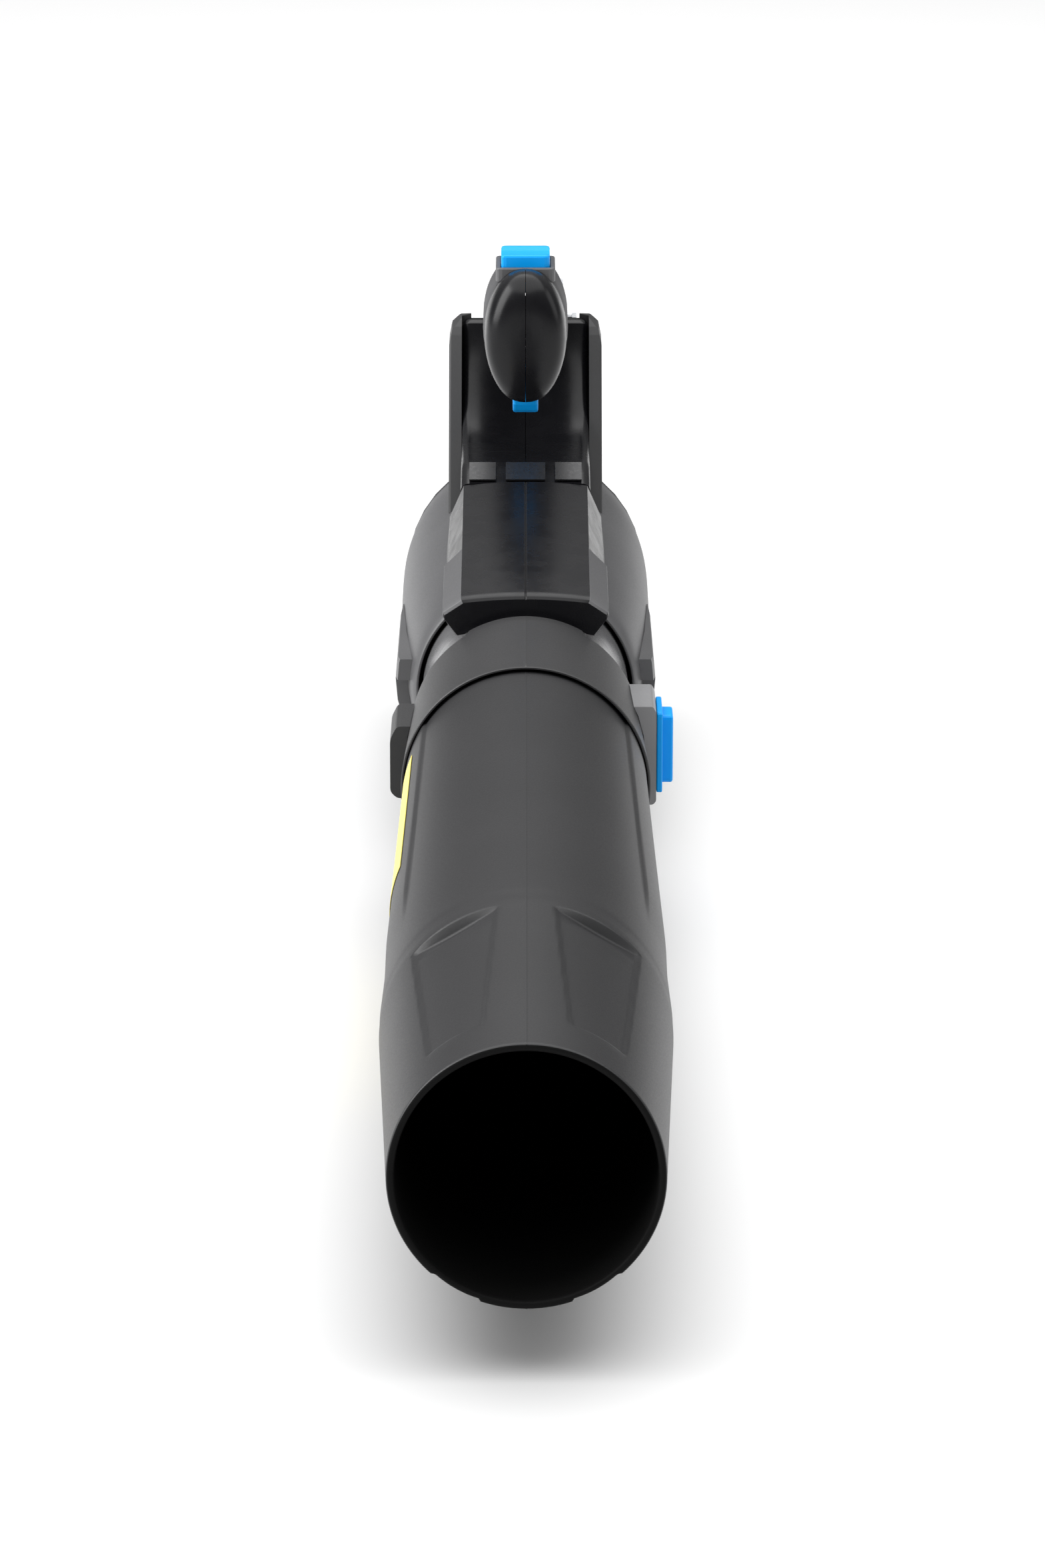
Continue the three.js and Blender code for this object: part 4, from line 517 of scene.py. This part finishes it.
def hood_section(back, sink=0.0, tuck=0.0):
    """One section of the hood: a crowned top with a seam, stepped side facets and a curved underside."""
    share = (back - HOOD_FRONT) / (HOOD_REAR - HOOD_FRONT)
    top = hood_top(back) - sink
    flat = HOOD_FLAT - tuck
    behind = smooth_step((share - HOOD_STEP) * 60 + 0.5)
    edge = mix(HOOD_EDGE, HOOD_REAR_EDGE, behind) - tuck
    drop = mix(mix(5.5, 8.0, share / HOOD_STEP), 15.0, behind)
    across = spread(flat, 0.9, 9) + [0.45, 0.0, -0.45] + spread(-0.9, -flat, 9)
    crown = [(x, top + HOOD_CROWN * (1 - (x / flat) ** 2) - (HOOD_SEAM if x == 0 else 0)) for x in across]
    under = 49.0 if back < BARREL_FRONT else 60.1
    if back >= BARREL_FRONT:
        under = 0.5 + next(
            mix(r0, r1, (back - BARREL_FRONT - b0) / (b1 - b0))
            for (r0, b0), (r1, b1) in zip(BARREL_PROFILE, BARREL_PROFILE[1:]) if back - BARREL_FRONT <= b1
        )
    foot_half = mix(31.5, 37.0, smooth_step((back - HOOD_FRONT - 6) / 40)) - tuck
    foot = math.sqrt(max(1.0, under ** 2 - foot_half ** 2))
    side_foot = max(foot, 40.0)
    arc = [(x, math.sqrt(under ** 2 - x * x)) for x in spread(-foot_half + 0.4, foot_half - 0.4, 21)]
    arc = [(x, max(up, side_foot)) for x, up in arc]
    points = crown + [(-edge, top - drop), (-edge, top - drop - 2.0), (-foot_half, side_foot)]
    points += arc + [(foot_half, side_foot), (edge, top - drop - 2.0), (edge, top - drop)]
    return [spot(x, back, up) for x, up in points]


def hood_cover():
    sections = [hood_section(HOOD_FRONT, 1.6, 0.8), hood_section(HOOD_FRONT + 0.8, 0.5, 0.2)]
    step = mix(HOOD_FRONT, HOOD_REAR, HOOD_STEP)
    sections += [hood_section(back) for back in spread(HOOD_FRONT + 2.4, step - 1.4, 20)]
    sections += [hood_section(back) for back in spread(step - 1.2, step + 1.2, 5)]
    sections += [hood_section(back) for back in spread(step + 1.4, HOOD_REAR - 1.0, 24)]
    sections += [hood_section(HOOD_REAR - 0.2, 0.5, 0.3)]
    hood = lofted("hood_shell", sections, GLOSS, "blower", ["hood_cover"], crease=22, bevel=0.35, segments=3)
    # The upward side facets at the front are given a lighter grey than the gloss black: a painted highlight
    # where light falls on them.
    hood.data.materials.append(GREY)
    for polygon in hood.data.polygons:
        middle = polygon.center
        if abs(middle.x) > 29.3 * MM and middle.y < MOUTH_Y + step * MM and polygon.normal.z > 0.3:
            polygon.material_index = 1
    return hood


# ---------- Handle and saddle ----------

# Each section of the grip: upper point, lower point (back from the barrel's mouth, up), half-width.
GRIP_STATIONS = [
    (88.4, 152.0, 88.5, 144.0, 2.5), (88.9, 160.0, 89.2, 134.0, 9.5),
    (90.4, 167.0, 91.0, 125.0, 14.0), (93.5, 172.0, 94.2, 117.5, 17.0),
    (98.0, 174.6, 99.5, 113.0, 18.7), (106.0, 175.2, 108.0, 112.6, 19.3),
    (114.0, 174.0, 118.0, 113.8, 19.3), (140.0, 173.6, 138.0, 116.2, 19.3),
    (149.0, 174.4, 150.0, 116.6, 19.3), (163.0, 171.6, 164.0, 116.6, 19.1),
    (190.0, 166.0, 180.0, 117.6, 19.0), (212.0, 161.0, 190.0, 115.5, 19.1),
    (235.0, 155.6, 196.0, 112.0, 19.3), (255.0, 147.0, 200.0, 110.0, 19.3),
    (270.0, 134.0, 203.5, 110.5, 19.3), (280.0, 121.0, 205.0, 111.8, 19.3),
    (284.8, 112.6, 206.0, 112.5, 19.3),
]


def grip_arc(row, side, steps=26):
    """Half of a handle section, from its top to its bottom, a rounded section that is widest at mid-height.
    """
    top_back, top_up, low_back, low_up, half = row
    points = []
    for k in range(steps + 1):
        turn = math.pi * k / steps
        lift = math.copysign(abs(math.cos(turn)) ** 0.86, math.cos(turn))
        share = (1 - lift) / 2
        wide = half * abs(math.sin(turn)) ** 0.86 * (1 - 0.10 * math.sin(math.pi * (share - 0.5)) ** 2)
        points.append((side * (0.12 + wide), mix(top_back, low_back, share), mix(top_up, low_up, share)))
    return [spot(x, BARREL_FRONT + back, up) for x, back, up in points]


def grip_half(name, side):
    rows = smooth_path(GRIP_STATIONS, 6)
    sections = [grip_arc(row, side)[::side] for row in rows]
    grip = lofted(name, sections, GLOSS, "blower", [], crease=50)
    pocket(grip, "trigger", 0.6, below=8.0, above=6.0, behind=6.0)
    pocket(grip, "boost_button", 0.4, below=BUTTON_TRAVEL, above=8.0)
    pocket(grip, "button_bezel", 0.2, above=8.0)
    return grip


def grip_strip(name, node, side):
    """A soft band that follows the side of the grip, a little proud of it."""
    rows = [row for row in smooth_path(GRIP_STATIONS, 6) if 112 < (row[0] + row[2]) / 2 < 222]
    sections = []
    for i, row in enumerate(rows):
        ends = min(1.0, (i + 0.3) / 3, (len(rows) - 0.7 - i) / 3)
        arc = grip_arc(row, side)[6:19]
        centre = (arc[0] + arc[-1]) / 2
        arc = [centre + (point - centre) * mix(0.75, 1.0, ends) for point in arc]
        proud = (STRIP_RISE * ends - 0.05) * MM
        outer = [point + Vector((side * proud, 0, 0)) for point in arc]
        inner = [point - Vector((side * STRIP_DEPTH * MM, 0, 0)) for point in arc]
        sections.append((outer + inner[::-1])[::side])
    return lofted(name, sections, SOFT, "blower", [node], crease=50)


def pocket(piece, node, clearance, below=0.0, above=0.0, inward=0.0, behind=0.0):
    """Room in a piece for a CAD node that moves or sits in it: its box, grown a little and by its travel."""
    low, high = (Vector(corner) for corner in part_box(node))
    room = Vector((clearance, clearance, clearance)) * MM
    low, high = low - room, high + room
    high.z += above * MM
    low.z -= below * MM
    low.x -= inward * MM
    high.y += behind * MM
    cut_box(piece, low, high)


def cut_box(piece, low, high):
    """Take a box out of a piece."""
    corners = [(x, y, z) for z in (low.z, high.z) for x, y in
               ((low.x, low.y), (high.x, low.y), (high.x, high.y), (low.x, high.y))]
    faces = [(3, 2, 1, 0), (4, 5, 6, 7)] + [(i, (i + 1) % 4, (i + 1) % 4 + 4, i + 4) for i in range(4)]
    mesh = bpy.data.meshes.new("pocket")
    mesh.from_pydata(corners, [], faces)
    cutter = bpy.data.objects.new("pocket", mesh)
    bpy.context.scene.collection.objects.link(cutter)
    cutting = piece.modifiers.new("pocket", "BOOLEAN")
    cutting.operation = "DIFFERENCE"
    cutting.object = cutter
    cutting.solver = "EXACT"
    bpy.context.view_layer.update()
    evaluated = piece.evaluated_get(bpy.context.evaluated_depsgraph_get())
    result = bpy.data.meshes.new_from_object(evaluated)
    piece.modifiers.remove(cutting)
    piece.data = result
    bpy.data.objects.remove(cutter)


def saddle_profile():
    """Top line of the saddle, from the hood to the rear body: (back from the barrel's mouth, up)."""
    rise = [(86.5, 77.0), (96.0, 79.8), (105.4, 82.4)]
    rise += [(back, 82.5) for back in spread(112, 142, 5)]
    bend = [(144.35, 82.5), (174.35, 82.5), (191.35, 104.5), (197.35, 130.5)]
    for share in spread(0.06, 1, 22):
        rest = 1 - share
        weights = (rest ** 3, 3 * rest * rest * share, 3 * rest * share * share, share ** 3)
        rise.append(tuple(sum(w * p[i] for w, p in zip(weights, bend)) for i in (0, 1)))
    return rise + [(199.5, 131.6), (205.3, 131.6)]


def saddle_half(name, side):
    """Half of the saddle, its upper edges rounded and its middle dished a little under the grip."""
    line = saddle_profile()
    edge_radius = 4.0
    across = spread(0.12, SADDLE_HALF_WIDTH - edge_radius, 14)
    across += [SADDLE_HALF_WIDTH - edge_radius * (1 - math.sin(a)) for a in spread(0.2, math.pi / 2, 7)]
    sections = []
    for i, (back, up) in enumerate(line):
        before, after = line[max(i - 1, 0)], line[min(i + 1, len(line) - 1)]
        along = Vector((after[0] - before[0], after[1] - before[1])).normalized()
        normal = Vector((-along.y, along.x))
        section = []
        for x in across:
            over = max(0.0, x - (SADDLE_HALF_WIDTH - edge_radius))
            drop = edge_radius - math.sqrt(max(0.0, edge_radius ** 2 - over ** 2))
            dish = 2.6 * smooth_step((back - 112) / 50) * (1 - smooth_step((up - 104) / 20))
            dish *= smooth_step(1 - abs(x) / 24)
            drop += dish
            section.append(spot(side * x, BARREL_FRONT + back - normal.x * drop, up - normal.y * drop))
        foot = [spot(side * SADDLE_HALF_WIDTH, BARREL_FRONT + min(back, 205.3), 52.4),
                spot(side * 0.12, BARREL_FRONT + min(back, 205.3), 60.4)]
        section += foot
        sections.append(section[::-side])
    return lofted(name, sections, GLOSS, "blower", [], crease=35)


def joined(name, pieces, nodes):
    """Several meshes as one piece that replaces CAD nodes."""
    bpy.ops.object.select_all(action="DESELECT")
    for piece in pieces:
        piece.select_set(True)
    bpy.context.view_layer.objects.active = pieces[0]
    bpy.ops.object.join()
    pieces[0].name = name
    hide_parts(*nodes)
    return pieces[0]


# ---------- Stage, light and camera ----------

def stage():
    """A pale floor, a white surround and soft lights."""
    verts = [(-8, -8, GROUND_Z - 0.0002), (8, -8, GROUND_Z - 0.0002), (8, 10, GROUND_Z - 0.0002),
             (-8, 10, GROUND_Z - 0.0002)]
    mesh = bpy.data.meshes.new("floor")
    mesh.from_pydata(verts, [], [(0, 1, 2, 3)])
    material, nodes, links, principled = shader("floor_white")
    coordinates = nodes.new("ShaderNodeTexCoord").outputs["Object"]
    shade = spanned(nodes, links, noise(nodes, links, coordinates, 2.0), 0.89, 0.90)
    links.new(shade, principled.inputs["Base Color"])
    principled.inputs["Roughness"].default_value = 0.9
    principled.inputs["Specular IOR Level"].default_value = 0.0
    mesh.materials.append(material)
    floor = bpy.data.objects.new("floor", mesh)
    bpy.context.scene.collection.objects.link(floor)

    surround()
    soft_light("overhead", (-0.1, -0.2, 2.6), (0, -0.1, 0.0), 5.0, 158)
    spare_floor(soft_light("left_key", (-2.2, -0.6, 1.2), (0, -0.2, 0.1), 2.0, 80), floor)
    spare_floor(soft_light("right_fill", (2.2, 0.1, 0.9), (0, 0.0, 0.1), 1.2, 6), floor)


def spare_floor(holder, floor):
    """Keep a side light off the floor, so that the shadow stays under the tube."""
    kept_out = bpy.data.collections.new(holder.name + "_kept_out")
    kept_out.objects.link(floor)
    kept_out.collection_objects[0].light_linking.link_state = "EXCLUDE"
    holder.light_linking.receiver_collection = kept_out


def surround():
    """White behind everything, and for light and reflections brighter overhead than near the horizon."""
    world = bpy.data.worlds.new("surround")
    world.use_nodes = True
    nodes, links = world.node_tree.nodes, world.node_tree.links
    background = nodes["Background"]
    direction = nodes.new("ShaderNodeTexCoord").outputs["Generated"]
    split = nodes.new("ShaderNodeSeparateXYZ")
    links.new(direction, split.inputs["Vector"])
    ramp = nodes.new("ShaderNodeValToRGB")
    ramp.color_ramp.elements[0].position = 0.05
    ramp.color_ramp.elements[0].color = (0.10, 0.10, 0.10, 1)
    ramp.color_ramp.elements[1].position = 0.95
    ramp.color_ramp.elements[1].color = (0.62, 0.62, 0.62, 1)
    links.new(split.outputs["Z"], ramp.inputs["Fac"])
    plain = nodes.new("ShaderNodeBackground")
    plain.inputs["Color"].default_value = (1, 1, 1, 1)
    links.new(ramp.outputs["Color"], background.inputs["Color"])
    choice = nodes.new("ShaderNodeMixShader")
    links.new(nodes.new("ShaderNodeLightPath").outputs["Is Camera Ray"], choice.inputs["Fac"])
    links.new(background.outputs["Background"], choice.inputs[1])
    links.new(plain.outputs["Background"], choice.inputs[2])
    links.new(choice.outputs["Shader"], nodes["World Output"].inputs["Surface"])
    bpy.context.scene.world = world


def soft_light(name, place, target, size, power):
    light = bpy.data.lights.new(name, "AREA")
    light.shape = "SQUARE"
    light.size = size
    light.energy = power
    holder = bpy.data.objects.new(name, light)
    holder.location = place
    holder.rotation_euler = (Vector(target) - Vector(place)).to_track_quat("-Z", "Y").to_euler()
    bpy.context.scene.collection.objects.link(holder)
    return holder


def camera():
    """Looks at the mouth from in front and 20 degrees above, through a long lens."""
    distance = 2.124
    elevation = math.radians(20)
    mouth = spot(0, 0, 0)
    lens = bpy.data.cameras.new("camera")
    lens.sensor_width = 36
    lens.lens = 137.2
    holder = bpy.data.objects.new("camera", lens)
    holder.location = mouth + distance * Vector((0, -math.cos(elevation), math.sin(elevation)))
    holder.location.x = -0.0014
    pitch = elevation - math.radians(3.77)
    aim = Vector((0, math.cos(pitch), -math.sin(pitch)))
    holder.rotation_euler = aim.to_track_quat("-Z", "Y").to_euler()
    lens.clip_start, lens.clip_end = 0.05, 50
    bpy.context.scene.collection.objects.link(holder)
    bpy.context.scene.camera = holder


bpy.context.scene.view_settings.view_transform = "Standard"
camera()
stage()
dress_cad_nodes()
blower_tube()
side_sticker()
tube_collar()
outlet_neck()
barrel_half("barrel_left_shell", "barrel_left", 1)
barrel_half("barrel_right_shell", "barrel_right", -1)
hood_cover()
grip_strip("grip_strip_left_band", "grip_strip_left", 1)
grip_strip("grip_strip_right_band", "grip_strip_right", -1)
for hand, direction in (("left", 1), ("right", -1)):
    halves = [grip_half("grip_" + hand, direction), saddle_half("saddle_" + hand, direction)]
    joined("handle_" + hand + "_moulding", halves, ["handle_" + hand])
